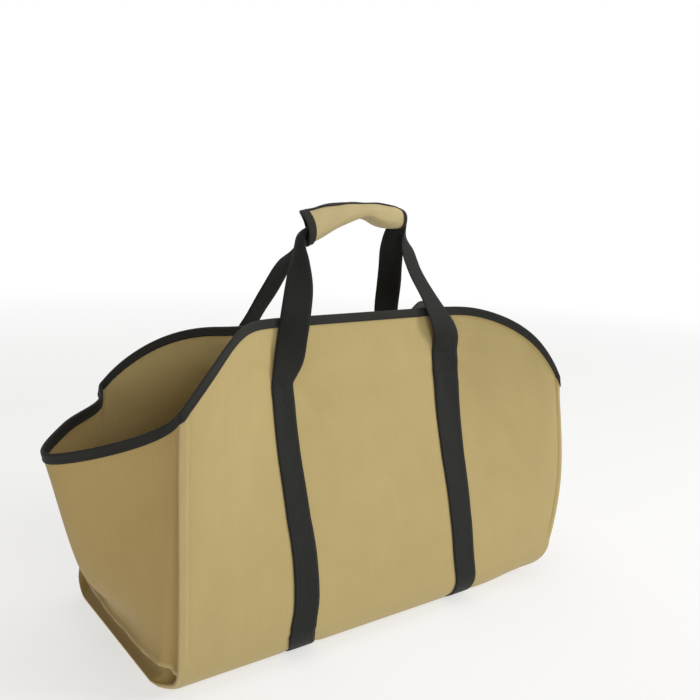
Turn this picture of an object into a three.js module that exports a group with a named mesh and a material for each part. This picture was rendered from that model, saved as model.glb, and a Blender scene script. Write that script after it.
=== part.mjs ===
import * as THREE from "three";

// Open-topped canvas log carrier, in millimetres.
// X runs along its length, -Y is the front, +Z is up and Z = 0 is the floor.

// Outer form of the bag
const LENGTH = 600;
const DEPTH = 304;
const MOUTH_SHIFT = -14;
const RIM_HEIGHT = 404;
const MOUTH_HALF_MIDDLE = 47;
const MOUTH_HALF_CORNER = 125;
const MOUTH_FLARE_START = 129;
const SHOULDER_START = 158;
const SHOULDER_POWER_LEFT = 2.1;
const SHOULDER_POWER_RIGHT = 2.4;
const CORNER_DROP_LEFT = 78;
const CORNER_DROP_RIGHT = 104;
const BACK_SAG = 24;
const BACK_SAG_END = 225;
const BACK_SAG_RUN = 75;
const FOOT_RADIUS = 41;
const FOOT_RADIUS_BACK_LEFT = 28;
const FOOT_RADIUS_RIGHT = 54;
const WALL_EASE = 0.47;
const CORNER_LEAN_LEFT = 8;
const BASE_BELLY_LEFT = 13;
const BELLY_START = -134;
const BELLY_RUN = 34;
const CORNER_REACH_RIGHT = 9;
const SIDE_BULGE_RIGHT = 18;
const BASE_TUCK_RIGHT = 14;
const CURL_BASE = 17;
const CURL_WALL = 4;
const SPOUT_REACH_LEFT = 106;
const SPOUT_REACH_RIGHT = 89.1;
const SPOUT_GROWTH = 0.72;
const SPOUT_DIP = 49;
const SPOUT_FULL_BACK = 0.8;
const SPOUT_FULL_EASE = 0.45;
const SPOUT_DIP_POWER = 0.375;

// Cloth, tape and webbing
const CLOTH = 1.5;
const GAP = 0.3;
const TAPE = 1;
const TAPE_GAP = 0.4;
const TAPE_DEPTH = 12;
const WEBBING = 1.6;
const STRAP_X = 130;
const STRAP_WIDTH = 37;
const STRAP_BED = GAP + WEBBING;
const BED_EDGE = 3.5;
const BED_RAMP = 7.5;

// Grid lines of the bag: distances along the half length, turns of the curled end, steps down the tape and
// the wall, angles of the foot, and places across the base and the end panels
const HALF_STRAP = STRAP_WIDTH / 2;
const COLUMNS_HALF = [0, 50, STRAP_X - 29, STRAP_X - 22, STRAP_X - HALF_STRAP, STRAP_X,
  STRAP_X + HALF_STRAP, STRAP_X + 22, STRAP_X + 30, 178, 200, 222, 244, 264, 283];
const SCALED_FROM = 250;
const CURL_TURNS = [30, 60, 90];
const TAPE_STEPS = [0, 0.5, 1];
const WALL_STEPS = [0.92, 0.84, 0.7, 0.55, 0.4, 0.25, 0.12, 0];
const FOOT_ANGLES = [22.5, 45, 67.5, 90];
const BASE_STEPS = [-95, -65, -35, 0, 35, 65, 95];
const END_STEPS = [-1, -0.87, -0.72, -0.54, -0.36, -0.18, 0, 0.18, 0.36, 0.54, 0.72, 0.87, 1];
const SEWN_ROW = TAPE_STEPS.length + WALL_STEPS.indexOf(0.84);
const BASE_ROW = TAPE_STEPS.length + WALL_STEPS.length + FOOT_ANGLES.length + BASE_STEPS.indexOf(0);

const CANVAS = { color: 0xbba671, roughness: 0.85, metalness: 0 };
const BLACK_TAPE = { color: 0x2b2b27, roughness: 0.7, metalness: 0 };
const BLACK_WEBBING = { color: 0x30312d, roughness: 0.75, metalness: 0 };

const clamp01 = (value) => Math.min(1, Math.max(0, value));
const smooth = (value) => clamp01(value) ** 2 * (3 - 2 * clamp01(value));
const radians = THREE.MathUtils.degToRad;
const vec = (x, y, z) => new THREE.Vector3(x, y, z);
const along = (point, direction, distance) => point.clone().addScaledVector(direction, distance);

// Height of the cloth's top edge over x on the front (side -1) or the back (side 1).
// It is level, with a rounded shoulder at each end.
function rimHeight(x, side) {
  const drop = x < 0 ? CORNER_DROP_LEFT : CORNER_DROP_RIGHT;
  const power = x < 0 ? SHOULDER_POWER_LEFT : SHOULDER_POWER_RIGHT;
  const share = clamp01((Math.abs(x) - SHOULDER_START) / (LENGTH / 2 - SHOULDER_START));
  const sag = side > 0 ? BACK_SAG * smooth((BACK_SAG_END - x) / BACK_SAG_RUN) : 0;
  return RIM_HEIGHT - drop * share ** power - sag;
}

// Slope factor of the top edge: how much longer a tape's upright depth is than its depth across the tape.
function tapeStretch(x, side) {
  const rise = rimHeight(x + 0.5, side) - rimHeight(x - 0.5, side);
  return Math.sqrt(1 + Math.min(1.3, Math.abs(rise)) ** 2);
}

// Half the width of the mouth over x: narrow between the handles, wide at the corners.
function mouthHalf(x) {
  const share = (Math.abs(x) - MOUTH_FLARE_START) / (LENGTH / 2 - MOUTH_FLARE_START);
  return MOUTH_HALF_MIDDLE + (MOUTH_HALF_CORNER - MOUTH_HALF_MIDDLE) * smooth(share);
}

// Radius of the rounded edge between wall and base over x: wider to the right, tighter at the back left.
function footRadius(x, side) {
  const left = side > 0 ? (FOOT_RADIUS_BACK_LEFT - FOOT_RADIUS) * smooth((-x - 170) / 110) : 0;
  const right = (FOOT_RADIUS_RIGHT - FOOT_RADIUS) * smooth((x - 170) / 110);
  return FOOT_RADIUS + left + right;
}

// Radius of a curled end: small down the upright folds, wide under the base.
// foot is 0 on the wall and 1 on the base.
function curlRadius(foot) {
  return CURL_WALL + (CURL_BASE - CURL_WALL) * smooth(foot);
}

// How far cloth at x and y is pushed along X at a height.
// The left corners lean in towards the rim, and the left end of the base swells behind its front corner.
// The right corners lean out, the side bulges between rim and base, and the base's right end is tucked in.
function endShift(x, y, height) {
  if (x > 0) {
    const bulge = SIDE_BULGE_RIGHT * Math.sin(Math.PI * (0.12 + 0.88 * height));
    const tuck = BASE_TUCK_RIGHT * (1 - height) ** 6;
    return smooth((x - 190) / 70) * (CORNER_REACH_RIGHT * height + bulge - tuck);
  }
  const belly = BASE_BELLY_LEFT * (1 - height) * smooth((y - BELLY_START) / BELLY_RUN);
  return smooth((-x - 150) / 110) * (CORNER_LEAN_LEFT * height - belly);
}

// Height of the shallow bed in the base that a strap lies in.
function strapBed(x) {
  const off = Math.abs(Math.abs(x) - STRAP_X) - HALF_STRAP - BED_EDGE;
  return STRAP_BED * (1 - clamp01(off / BED_RAMP));
}

// A point of the bag's outer surface without its curled ends. place is {side, height} on a wall with height
// 1 at the rim, {side, foot} on the rounded foot with foot in degrees, or {base} on the flat base at that y.
function skinPoint(x, place) {
  if (place.base !== undefined) return vec(x + endShift(x, place.base, 0), place.base, strapBed(x));
  const radius = footRadius(x, place.side);
  if (place.foot !== undefined) {
    const turn = radians(place.foot);
    const y = place.side * (DEPTH / 2 - radius + radius * Math.cos(turn));
    const z = radius - radius * Math.sin(turn) + strapBed(x) * Math.sin(turn);
    return vec(x + endShift(x, y, 0), y, z);
  }
  const height = place.height;
  const z = radius + height * (rimHeight(x, place.side) - radius);
  const lean = height - WALL_EASE * Math.sin(2 * Math.PI * height) / (2 * Math.PI);
  const rim = MOUTH_SHIFT + place.side * mouthHalf(x);
  const y = THREE.MathUtils.lerp(place.side * DEPTH / 2, rim, lean);
  return vec(x + endShift(x, y, height), y, z);
}

// Outward direction of the bag's outer surface, from three close points.
function skinNormal(x, place) {
  const here = skinPoint(x, place);
  const beside = skinPoint(x - Math.sign(x || 1) * 0.5, place).sub(here);
  const next = { ...place };
  if (place.base !== undefined) next.base = place.base + (place.base > 0 ? -0.5 : 0.5);
  else if (place.foot !== undefined) next.foot = place.foot - 1;
  else next.height = place.height > 0.5 ? place.height - 0.002 : place.height + 0.002;
  const below = skinPoint(x, next).sub(here);
  const normal = beside.cross(below).normalize();
  const outward = vec(0, here.y - MOUTH_SHIFT, here.z - RIM_HEIGHT / 3);
  return normal.dot(outward) < 0 ? normal.negate() : normal;
}

// Rows of the grid's column at x: from the front rim down, under the base and up to the back rim.
function columnPlaces(x) {
  const wallPlaces = (side) => {
    const upright = TAPE_DEPTH * tapeStretch(x, side) / (rimHeight(x, side) - footRadius(x, side));
    const tape = TAPE_STEPS.map((step) => ({ side, height: 1 - upright * step }));
    const wall = WALL_STEPS.map((step) => ({ side, height: (1 - upright) * step }));
    const foot = FOOT_ANGLES.map((angle) => ({ side, foot: angle }));
    return [...tape, ...wall, ...foot];
  };
  const base = BASE_STEPS.map((y) => ({ base: y }));
  return [...wallPlaces(-1), ...base, ...wallPlaces(1).reverse()];
}

// One column of the bag's grid as {point, normal} rows.
// turn is 0 between the folds and up to 90 round a curled end.
function bagColumn(distance, turn) {
  const sign = Math.sign(distance);
  const cells = columnPlaces(distance).map((place) => {
    const foot = place.base !== undefined ? 1 : (place.foot ?? 0) / 90;
    const radius = curlRadius(foot);
    const reach = (LENGTH / 2 - radius - SCALED_FROM) / (COLUMNS_HALF.at(-1) - SCALED_FROM);
    const x = Math.abs(distance) > SCALED_FROM
      ? sign * (SCALED_FROM + (Math.abs(distance) - SCALED_FROM) * reach) : distance;
    const flat = skinPoint(x, place);
    const out = skinNormal(x, place);
    const end = vec(sign, 0, 0);
    const angle = radians(turn);
    const point = along(along(flat, end, radius * Math.sin(angle)), out, -radius * (1 - Math.cos(angle)));
    const normal = out.clone().multiplyScalar(Math.cos(angle)).addScaledVector(end, Math.sin(angle));
    return { point, normal: normal.normalize() };
  });
  return cells;
}

// All columns of the bag's grid from the left end to the right end.
function bagGrid() {
  const last = COLUMNS_HALF.at(-1);
  const right = COLUMNS_HALF.slice(1);
  const left = right.slice().reverse().map((distance) => -distance);
  const middle = [...left, 0, ...right].map((distance) => bagColumn(distance, 0));
  const leftCurl = CURL_TURNS.slice().reverse().map((turn) => bagColumn(-last, turn));
  const rightCurl = CURL_TURNS.map((turn) => bagColumn(last, turn));
  return [...leftCurl, ...middle, ...rightCurl];
}

// Grid of an end panel as {point, normal}: rows follow the bag's end edge from the rim to the base, and
// columns run front to back. The panel swells outward like a spout towards the rim, and its rim dips in the
// middle.
function endGrid(edge, sign) {
  const rows = TAPE_STEPS.length + WALL_STEPS.length + FOOT_ANGLES.length;
  const places = columnPlaces(sign * COLUMNS_HALF.at(-1)).slice(0, rows);
  const lowest = edge[places.length - 1].point.z;
  const reach = sign < 0 ? SPOUT_REACH_LEFT : SPOUT_REACH_RIGHT;
  const inset = (cell, towards) => along(cell.point, vec(0, towards, 0), GAP);
  const rowPoint = (place, row, across) => {
    const front = inset(edge[row], 1);
    const back = inset(edge[edge.length - 1 - row], -1);
    const share = clamp01((front.z - lowest) / (edge[0].point.z - lowest));
    const point = front.clone().lerp(back, (1 + across) / 2);
    const middle = 1 - across ** 2;
    const full = sign < 0 && across > 0 ? SPOUT_FULL_BACK * smooth((1 - across) / SPOUT_FULL_EASE) : 0;
    const fuller = full * share ** 2;
    const crown = Math.max(0, Math.cos(Math.PI * across / 2)) ** (2 - fuller);
    const swell = reach * share ** SPOUT_GROWTH * crown;
    point.x = sign * (LENGTH / 2 + swell) + endShift(sign * LENGTH / 2, point.y, place.height ?? 0);
    point.z += GAP * (1 - share) - SPOUT_DIP * middle ** (1 + SPOUT_DIP_POWER * fuller) * share;
    return point;
  };
  const points = END_STEPS.map((across) => places.map((place, row) => rowPoint(place, row, across)));
  return points.map((column, i) => column.map((point, j) => {
    const before = points[Math.max(0, i - 1)][j];
    const after = points[Math.min(points.length - 1, i + 1)][j];
    const above = column[Math.max(0, j - 1)];
    const below = column[Math.min(column.length - 1, j + 1)];
    const normal = after.clone().sub(before).cross(below.clone().sub(above)).normalize();
    const outward = normal.x * sign < 0 ? normal.negate() : normal;
    return { point, normal: i === 0 || i === points.length - 1 ? vec(sign, 0, 0) : outward };
  }));
}

// A closed mesh from rings of points, each ring joined to the next.
// Open strips get caps, loops join up with their start.
function meshFromRings(name, finish, rings, { loop = false } = {}) {
  const size = rings[0].length;
  const positions = rings.flat().flatMap((point) => [point.x, point.y, point.z]);
  const indices = [];
  const spans = loop ? rings.length : rings.length - 1;
  for (let i = 0; i < spans; i += 1) {
    const next = (i + 1) % rings.length;
    for (let j = 0; j < size; j += 1) {
      const k = (j + 1) % size;
      const corners = [i * size + j, next * size + j, next * size + k, i * size + k];
      indices.push(corners[0], corners[1], corners[2], corners[0], corners[2], corners[3]);
    }
  }
  if (!loop) {
    indices.push(...capIndices(0, size, true));
    indices.push(...capIndices((rings.length - 1) * size, size, false));
  }
  return closedMesh(name, finish, positions, indices);
}

// Triangles of a cap over a ring of two facing rows: the first half runs one way, the second half back.
function capIndices(start, size, reversed) {
  const half = size / 2;
  const triangles = [];
  for (let j = 0; j < half - 1; j += 1) {
    const near = [start + j, start + j + 1];
    const far = [start + size - 1 - j, start + size - 2 - j];
    const pair = [[near[0], near[1], far[1]], [near[0], far[1], far[0]]];
    pair.forEach((triangle) => triangles.push(...(reversed ? triangle : triangle.slice().reverse())));
  }
  return triangles;
}

// A mesh whose triangles face outward: they are turned over when the enclosed volume comes out negative.
function closedMesh(name, finish, positions, indices) {
  const at = (index) => vec(positions[3 * index], positions[3 * index + 1], positions[3 * index + 2]);
  let volume = 0;
  for (let i = 0; i < indices.length; i += 3) {
    volume += at(indices[i]).dot(at(indices[i + 1]).cross(at(indices[i + 2])));
  }
  const facing = volume < 0 ? indices.slice().reverse() : indices;
  const geometry = new THREE.BufferGeometry();
  geometry.setAttribute("position", new THREE.Float32BufferAttribute(positions, 3));
  geometry.setIndex(facing);
  geometry.computeVertexNormals();
  const mesh = new THREE.Mesh(geometry, new THREE.MeshStandardMaterial(finish));
  mesh.name = name;
  return mesh;
}

// A cloth sheet from a grid of {point, normal}: the outer face, and the inner face one cloth behind it.
function clothSheet(name, finish, grid) {
  const rings = grid.map((column) => {
    const outer = column.map((cell) => cell.point);
    const inner = column.map((cell) => along(cell.point, cell.normal, -CLOTH));
    return [...outer, ...inner.reverse()];
  });
  return meshFromRings(name, finish, rings);
}

// Section of the tape folded over the rim, from the top three rows of a column.
function tapeSection(cells) {
  const top = cells[0];
  const up = cells[0].point.clone().sub(cells[1].point).normalize();
  const leg = (offset) => cells.slice(1).map((cell) => along(cell.point, cell.normal, offset));
  const crest = (offset, raise) => along(along(top.point, top.normal, offset), up, raise);
  const outerFace = TAPE_GAP + TAPE;
  const innerFace = -CLOTH - TAPE_GAP - TAPE;
  return [
    ...leg(outerFace).reverse(), crest(outerFace, outerFace),
    crest(innerFace, outerFace), ...leg(innerFace),
    ...leg(innerFace + TAPE).reverse(), crest(innerFace + TAPE, TAPE_GAP),
    crest(TAPE_GAP, TAPE_GAP), ...leg(TAPE_GAP),
  ];
}

// The tape loop round the whole rim: front, right end, back, left end.
function rimBinding(grid, leftEnd, rightEnd) {
  const body = grid.slice(1, -1);
  const frontRows = body.map((column) => column.slice(0, TAPE_STEPS.length));
  const backRows = body.map((column) => column.slice(-TAPE_STEPS.length).reverse());
  const endRows = (end) => end.map((column) => column.slice(0, TAPE_STEPS.length));
  const loop = [...frontRows, ...endRows(rightEnd), ...backRows.reverse(), ...endRows(leftEnd).reverse()];
  return meshFromRings("rim_binding", BLACK_TAPE, loop.map(tapeSection), { loop: true });
}

// Free webbing from the sewn end to the grip: centre, turn of its width about Z in degrees, and width.
// y counts from the middle of the mouth. y and turn are written as for the front strap, and the back legs
// are turned over.
const LEG_FRONT_LEFT = [
  { x: -127.5, y: -60.5, z: 360, turn: -6, width: 37 },
  { x: -117, y: -60, z: 385, turn: -19, width: 37 },
  { x: -107, y: -58, z: 407, turn: -27, width: 37 },
  { x: -94, y: -42, z: 440, turn: -45, width: 33 },
  { x: -84, y: -22, z: 470, turn: -68, width: 24 },
  { x: -76.5, y: -6, z: 494, turn: -84, width: 19 },
  { x: -69, y: -1, z: 504.5, turn: -89, width: 18 },
];
const LEG_FRONT_RIGHT = [
  { x: 99, y: -0.5, z: 522.5, turn: -91, width: 18 },
  { x: 104.5, y: -4, z: 511, turn: -105, width: 19 },
  { x: 105.5, y: -13, z: 492, turn: -148, width: 23 },
  { x: 103, y: -24, z: 460, turn: -161, width: 31 },
  { x: 111, y: -47, z: 424, turn: -167, width: 36 },
  { x: 120, y: -57.5, z: 404, turn: -172, width: 37 },
  { x: 126.5, y: -58, z: 385, turn: -176, width: 37 },
  { x: 130, y: -60.5, z: 361, turn: -179, width: 37 },
];
const LEG_BACK_LEFT = [
  { x: -127.5, y: -63.5, z: 340, turn: -5, width: 37 },
  { x: -118, y: -61, z: 363, turn: -17, width: 37 },
  { x: -111, y: -58, z: 384, turn: -25, width: 37 },
  { x: -95, y: -43, z: 421, turn: -45, width: 35 },
  { x: -79, y: -23, z: 459, turn: -66, width: 27 },
  { x: -73, y: -4, z: 489, turn: -86, width: 19 },
  { x: -66, y: -0.5, z: 501, turn: -90, width: 18 },
];
const LEG_BACK_RIGHT = [
  { x: 94, y: -0.5, z: 518.5, turn: -91, width: 18 },
  { x: 98, y: -4, z: 507.5, turn: -105, width: 19 },
  { x: 98, y: -13, z: 490, turn: -148, width: 23 },
  { x: 100, y: -24, z: 459, turn: -161, width: 31 },
  { x: 110, y: -46, z: 418, turn: -167, width: 36 },
  { x: 118, y: -58, z: 386, turn: -171, width: 37 },
  { x: 123, y: -60.5, z: 364, turn: -174, width: 37 },
  { x: 128, y: -63.5, z: 341, turn: -178, width: 37 },
];
const INSIDE_GRIP = [
  { x: -50, z: 513.5 },
  { x: -30, z: 521.5 },
  { x: 0, z: 531 },
  { x: 24, z: 534.5 },
  { x: 52, z: 531 },
  { x: 70, z: 527.5 },
  { x: 84, z: 524.5 },
];
const GRIP_STRAP_WIDTH = 18;
const GRIP_STRAP_OFFSET = 2;

// Stations of the free webbing: a smooth curve through one leg, the grip and the other leg.
function freeStations(leftSeam, rightSeam, leftLeg, rightLeg, side) {
  const inGrip = INSIDE_GRIP.map((row) => ({
    x: row.x, y: 0, z: row.z - side * GRIP_STRAP_OFFSET, turn: -90, width: GRIP_STRAP_WIDTH,
  }));
  const seam = (point, turn) => ({
    x: point.x, y: (point.y - MOUTH_SHIFT) * -side, z: point.z, turn, width: STRAP_WIDTH,
  });
  const rows = [seam(leftSeam, 0), ...leftLeg, ...inGrip, ...rightLeg, seam(rightSeam, -180)];
  const centres = rows.map((row) => vec(row.x, MOUTH_SHIFT + row.y * -side, row.z));
  const curve = new THREE.CatmullRomCurve3(centres, false, "centripetal");
  const spans = rows.length - 1;
  const steps = 2 * spans;
  return Array.from({ length: steps - 1 }, (_, i) => {
    const share = (i + 1) / steps;
    const row = Math.min(spans - 1, Math.floor(share * spans));
    const mix = share * spans - row;
    const blend = (name) => THREE.MathUtils.lerp(rows[row][name], rows[row + 1][name], mix);
    const centre = curve.getPoint(share);
    return { centre, forward: curve.getTangent(share), turn: blend("turn"), width: blend("width") };
  });
}

// One ring of free webbing: outer row from edge to edge, then the inner row back.
function freeRing(station, side) {
  const turn = radians(station.turn) * -side;
  const across = vec(Math.cos(turn), Math.sin(turn), 0);
  across.addScaledVector(station.forward, -across.dot(station.forward)).normalize();
  const inward = station.forward.clone().cross(across).multiplyScalar(-side).normalize();
  const thick = WEBBING * STRAP_WIDTH / station.width;
  const row = (offset) => [-0.5, 0, 0.5].map((share) =>
    along(along(station.centre, across, share * station.width), inward, offset));
  return [...row(-thick / 2), ...row(thick / 2).reverse()];
}

// Rings of the webbing sewn on the bag, from its end under the base up to the sewn end, for the leg at x.
function sewnRings(grid, sign, side) {
  const middle = (grid.length - 1) / 2;
  const strapColumn = COLUMNS_HALF.indexOf(STRAP_X);
  const columns = [-1, 0, 1].map((step) => grid[middle + sign * strapColumn + step]);
  const rows = Array.from({ length: BASE_ROW - SEWN_ROW + 1 }, (_, k) => BASE_ROW - k);
  return rows.map((row) => {
    const cells = columns.map((column) => column[side < 0 ? row : column.length - 1 - row]);
    const lay = (offset) => cells.map((cell) => along(cell.point, cell.normal, offset));
    const shift = row === BASE_ROW ? side * GAP / 2 : 0;
    const ring = [...lay(GAP + WEBBING), ...lay(GAP).reverse()];
    return ring.map((point) => vec(point.x, point.y + shift, point.z));
  });
}

// A whole strap: from the middle of the base up one wall, through the grip and down to the base again.
function strap(name, grid, side, leftLeg, rightLeg) {
  const leftSewn = sewnRings(grid, -1, side);
  const rightSewn = sewnRings(grid, 1, side).reverse();
  const flip = ([a, b, c, d, e, f]) => [c, b, a, f, e, d];
  const seamCentre = (ring) => ring[1].clone().add(ring[4]).multiplyScalar(0.5);
  const leftSeam = seamCentre(leftSewn.at(-1));
  const rightSeam = seamCentre(rightSewn[0]);
  const stations = freeStations(leftSeam, rightSeam, leftLeg, rightLeg, side);
  const free = stations.map((station) => freeRing(station, side));
  return meshFromRings(name, BLACK_WEBBING, [...leftSewn, ...free, ...rightSewn.map(flip)]);
}

// Sections of the grip along X: height of the middle, half height and half width of the outer face.
const GRIP_SECTIONS = [
  { x: -65, z: 511, halfHeight: 22, halfWidth: 18 },
  { x: -53, z: 515, halfHeight: 20.5, halfWidth: 18.5 },
  { x: -34, z: 522, halfHeight: 18.5, halfWidth: 19 },
  { x: -10, z: 529.5, halfHeight: 14.5, halfWidth: 20 },
  { x: 10, z: 533.5, halfHeight: 11, halfWidth: 20.5 },
  { x: 24, z: 535, halfHeight: 10, halfWidth: 20.5 },
  { x: 38, z: 533, halfHeight: 12, halfWidth: 20.5 },
  { x: 56, z: 529, halfHeight: 15.5, halfWidth: 19.5 },
  { x: 74, z: 527, halfHeight: 15.5, halfWidth: 18.5 },
  { x: 89, z: 525, halfHeight: 13, halfWidth: 18 },
];
const GRIP_CLOTH = 2;
const GRIP_TAPE = 1;
const GRIP_TAPE_DEPTH_LEFT = 9;
const GRIP_TAPE_DEPTH_RIGHT = 4;
const GRIP_SIDES = 16;
const GRIP_EDGE_FROM = 3;
const GRIP_EDGE_TO = 5;
const GRIP_POWER = 2.4;

// Ring of a grip section grown by an amount, as a rounded oblong standing upright across X.
function gripRing(section, grow, shift = 0) {
  return Array.from({ length: GRIP_SIDES }, (_, k) => {
    const turn = 2 * Math.PI * k / GRIP_SIDES;
    const round = (value) => Math.sign(value) * Math.abs(value) ** (2 / GRIP_POWER);
    const y = (section.halfWidth + grow) * round(Math.cos(turn));
    const z = (section.halfHeight + grow) * round(Math.sin(turn));
    return vec(section.x + shift, MOUTH_SHIFT + y, section.z + z);
  });
}

// The cloth wrap round the webbing: an open-ended tube.
function gripWrap() {
  const outer = GRIP_SECTIONS.map((section) => gripRing(section, 0));
  const inner = GRIP_SECTIONS.map((section) => gripRing(section, -GRIP_CLOTH)).reverse();
  return meshFromRings("grip_wrap", CANVAS, [...outer, ...inner], { loop: true });
}

// A section of the grip at any x between two of the table's rows.
function gripSectionAt(x) {
  const next = Math.max(1, GRIP_SECTIONS.findIndex((section) => section.x >= x));
  const [before, after] = [GRIP_SECTIONS[next - 1], GRIP_SECTIONS[next]];
  const mix = (x - before.x) / (after.x - before.x);
  const blend = (name) => THREE.MathUtils.lerp(before[name], after[name], mix);
  return { x, z: blend("z"), halfHeight: blend("halfHeight"), halfWidth: blend("halfWidth") };
}

// Tape folded over one end of the wrap, as a loop of rings from outside over the edge to the inside.
function gripEndTape(name, end, inwardSign, tapeDepth) {
  const face = gripSectionAt(end);
  const depth = gripSectionAt(end + inwardSign * tapeDepth);
  const outside = GAP + GRIP_TAPE;
  const inside = -GRIP_CLOTH - GAP - GRIP_TAPE;
  const rings = [
    gripRing(depth, GAP),
    gripRing(depth, outside),
    gripRing(face, outside, -inwardSign * outside),
    gripRing(face, inside, -inwardSign * outside),
    gripRing(depth, inside),
    gripRing(depth, inside + GRIP_TAPE),
    gripRing(face, inside + GRIP_TAPE, -inwardSign * GAP),
    gripRing(face, GAP, -inwardSign * GAP),
  ];
  return meshFromRings(name, BLACK_TAPE, rings, { loop: true });
}

// Tape along the wrap's free edge, lying on top of the grip between the two end tapes.
function gripEdgeTape() {
  const first = GRIP_SECTIONS[0].x + GRIP_TAPE_DEPTH_LEFT + GAP;
  const last = GRIP_SECTIONS.at(-1).x - GRIP_TAPE_DEPTH_RIGHT - GAP;
  const inner = GRIP_SECTIONS.filter((section) => section.x > first && section.x < last);
  const sections = [gripSectionAt(first), ...inner, gripSectionAt(last)];
  const strip = (section, grow) => gripRing(section, grow).slice(GRIP_EDGE_FROM, GRIP_EDGE_TO + 1);
  const rings = sections.map((section) => [
    ...strip(section, GAP + GRIP_TAPE), ...strip(section, GAP).reverse(),
  ]);
  return meshFromRings("grip_edge_tape", BLACK_TAPE, rings);
}

function logCarrier() {
  const grid = bagGrid();
  const leftEnd = endGrid(grid[0], -1);
  const rightEnd = endGrid(grid.at(-1), 1);
  const carrier = new THREE.Group();
  carrier.name = "log_carrier";
  carrier.add(
    clothSheet("body_panel", CANVAS, grid),
    clothSheet("end_panel_left", CANVAS, leftEnd),
    clothSheet("end_panel_right", CANVAS, rightEnd),
    rimBinding(grid, leftEnd, rightEnd),
    strap("strap_front", grid, -1, LEG_FRONT_LEFT, LEG_FRONT_RIGHT),
    strap("strap_back", grid, 1, LEG_BACK_LEFT, LEG_BACK_RIGHT),
    gripWrap(),
    gripEndTape("grip_end_tape_left", GRIP_SECTIONS[0].x, 1, GRIP_TAPE_DEPTH_LEFT),
    gripEndTape("grip_end_tape_right", GRIP_SECTIONS.at(-1).x, -1, GRIP_TAPE_DEPTH_RIGHT),
    gripEdgeTape(),
  );
  return carrier;
}

export default logCarrier();
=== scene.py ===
# %% [markdown]
# # A canvas log carrier
# An open-topped bag of khaki canvas: one long panel is folded up round the base, two end panels close it
# like spouts, black tape binds the rim, and two straps run under the base and meet in a wrapped grip.
# The packed CAD part gives the place and size of every piece. Here each piece is made again as a finer
# surface on much the same formulas, so the looks stay where the solids are.

import bpy
import numpy as np
from mathutils import Matrix


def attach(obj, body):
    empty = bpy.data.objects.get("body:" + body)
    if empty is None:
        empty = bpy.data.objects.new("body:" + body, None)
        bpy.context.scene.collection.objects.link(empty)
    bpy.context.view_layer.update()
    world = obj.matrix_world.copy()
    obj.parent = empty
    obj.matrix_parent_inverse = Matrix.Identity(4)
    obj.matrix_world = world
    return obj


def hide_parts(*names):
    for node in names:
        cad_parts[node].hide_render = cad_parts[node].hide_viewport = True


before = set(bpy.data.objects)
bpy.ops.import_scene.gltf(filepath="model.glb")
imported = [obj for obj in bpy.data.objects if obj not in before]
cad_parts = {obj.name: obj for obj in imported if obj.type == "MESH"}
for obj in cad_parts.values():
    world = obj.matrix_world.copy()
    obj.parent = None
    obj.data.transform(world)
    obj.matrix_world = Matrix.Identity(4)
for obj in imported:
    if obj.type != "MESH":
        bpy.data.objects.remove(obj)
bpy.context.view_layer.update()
print("CAD nodes:", ", ".join(sorted(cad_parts)))

# %% [markdown]
# ## The camera
# The carrier was looked at from the front left, a little above its rim. The camera is written as a place,
# a yaw, a pitch and a small roll, because those are the numbers a photographer would read off a tripod.
# The lens follows from the focal length in pixels of a square picture.

# %% Camera
MM = 0.001
IMAGE_PIXELS = 700
FOCAL_PIXELS = 821.7
SENSOR_MM = 36
SEEN_METRES = 100
CAMERA_PLACE_MM = (-639.4, -908.8, 560.2)
CAMERA_YAW = np.radians(36.19)
CAMERA_PITCH = np.radians(10.93)
CAMERA_ROLL = np.radians(2.13)


def in_scene(name, data):
    """A new object with this data, linked to the scene."""
    thing = bpy.data.objects.new(name, data)
    bpy.context.scene.collection.objects.link(thing)
    return thing


def camera_axes(yaw, pitch, roll):
    """Right, up and backward of a camera: level axes from yaw and pitch, then turned by the roll."""
    forward = np.array([np.sin(yaw) * np.cos(pitch), np.cos(yaw) * np.cos(pitch), -np.sin(pitch)])
    level = np.array([np.cos(yaw), -np.sin(yaw), 0.0])
    upright = np.cross(level, forward)
    right = level * np.cos(roll) + upright * np.sin(roll)
    up = upright * np.cos(roll) - level * np.sin(roll)
    return np.column_stack([right, up, -forward])


def make_camera():
    """A perspective camera with the lens that gives the focal length in pixels on a square picture."""
    data = bpy.data.cameras.new("camera")
    data.sensor_width = SENSOR_MM
    data.lens = FOCAL_PIXELS * SENSOR_MM / IMAGE_PIXELS
    data.clip_end = SEEN_METRES
    camera = in_scene("camera", data)
    turned = Matrix(camera_axes(CAMERA_YAW, CAMERA_PITCH, CAMERA_ROLL).tolist()).to_4x4()
    camera.matrix_world = Matrix.Translation(np.array(CAMERA_PLACE_MM) * MM) @ turned
    bpy.context.scene.camera = camera
    return camera


print(f"camera lens {make_camera().data.lens:.2f} mm")

# %% [markdown]
# ## Wiring materials
# A finish is a small sum: so much broad variation, so much thread, a little dirt. Written node by node that
# sum is hard to read, so one class wraps a socket and turns Python arithmetic into Math nodes. Every other
# node comes from its add method: the kind, the settings, then the values or links of the sockets.


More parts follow.
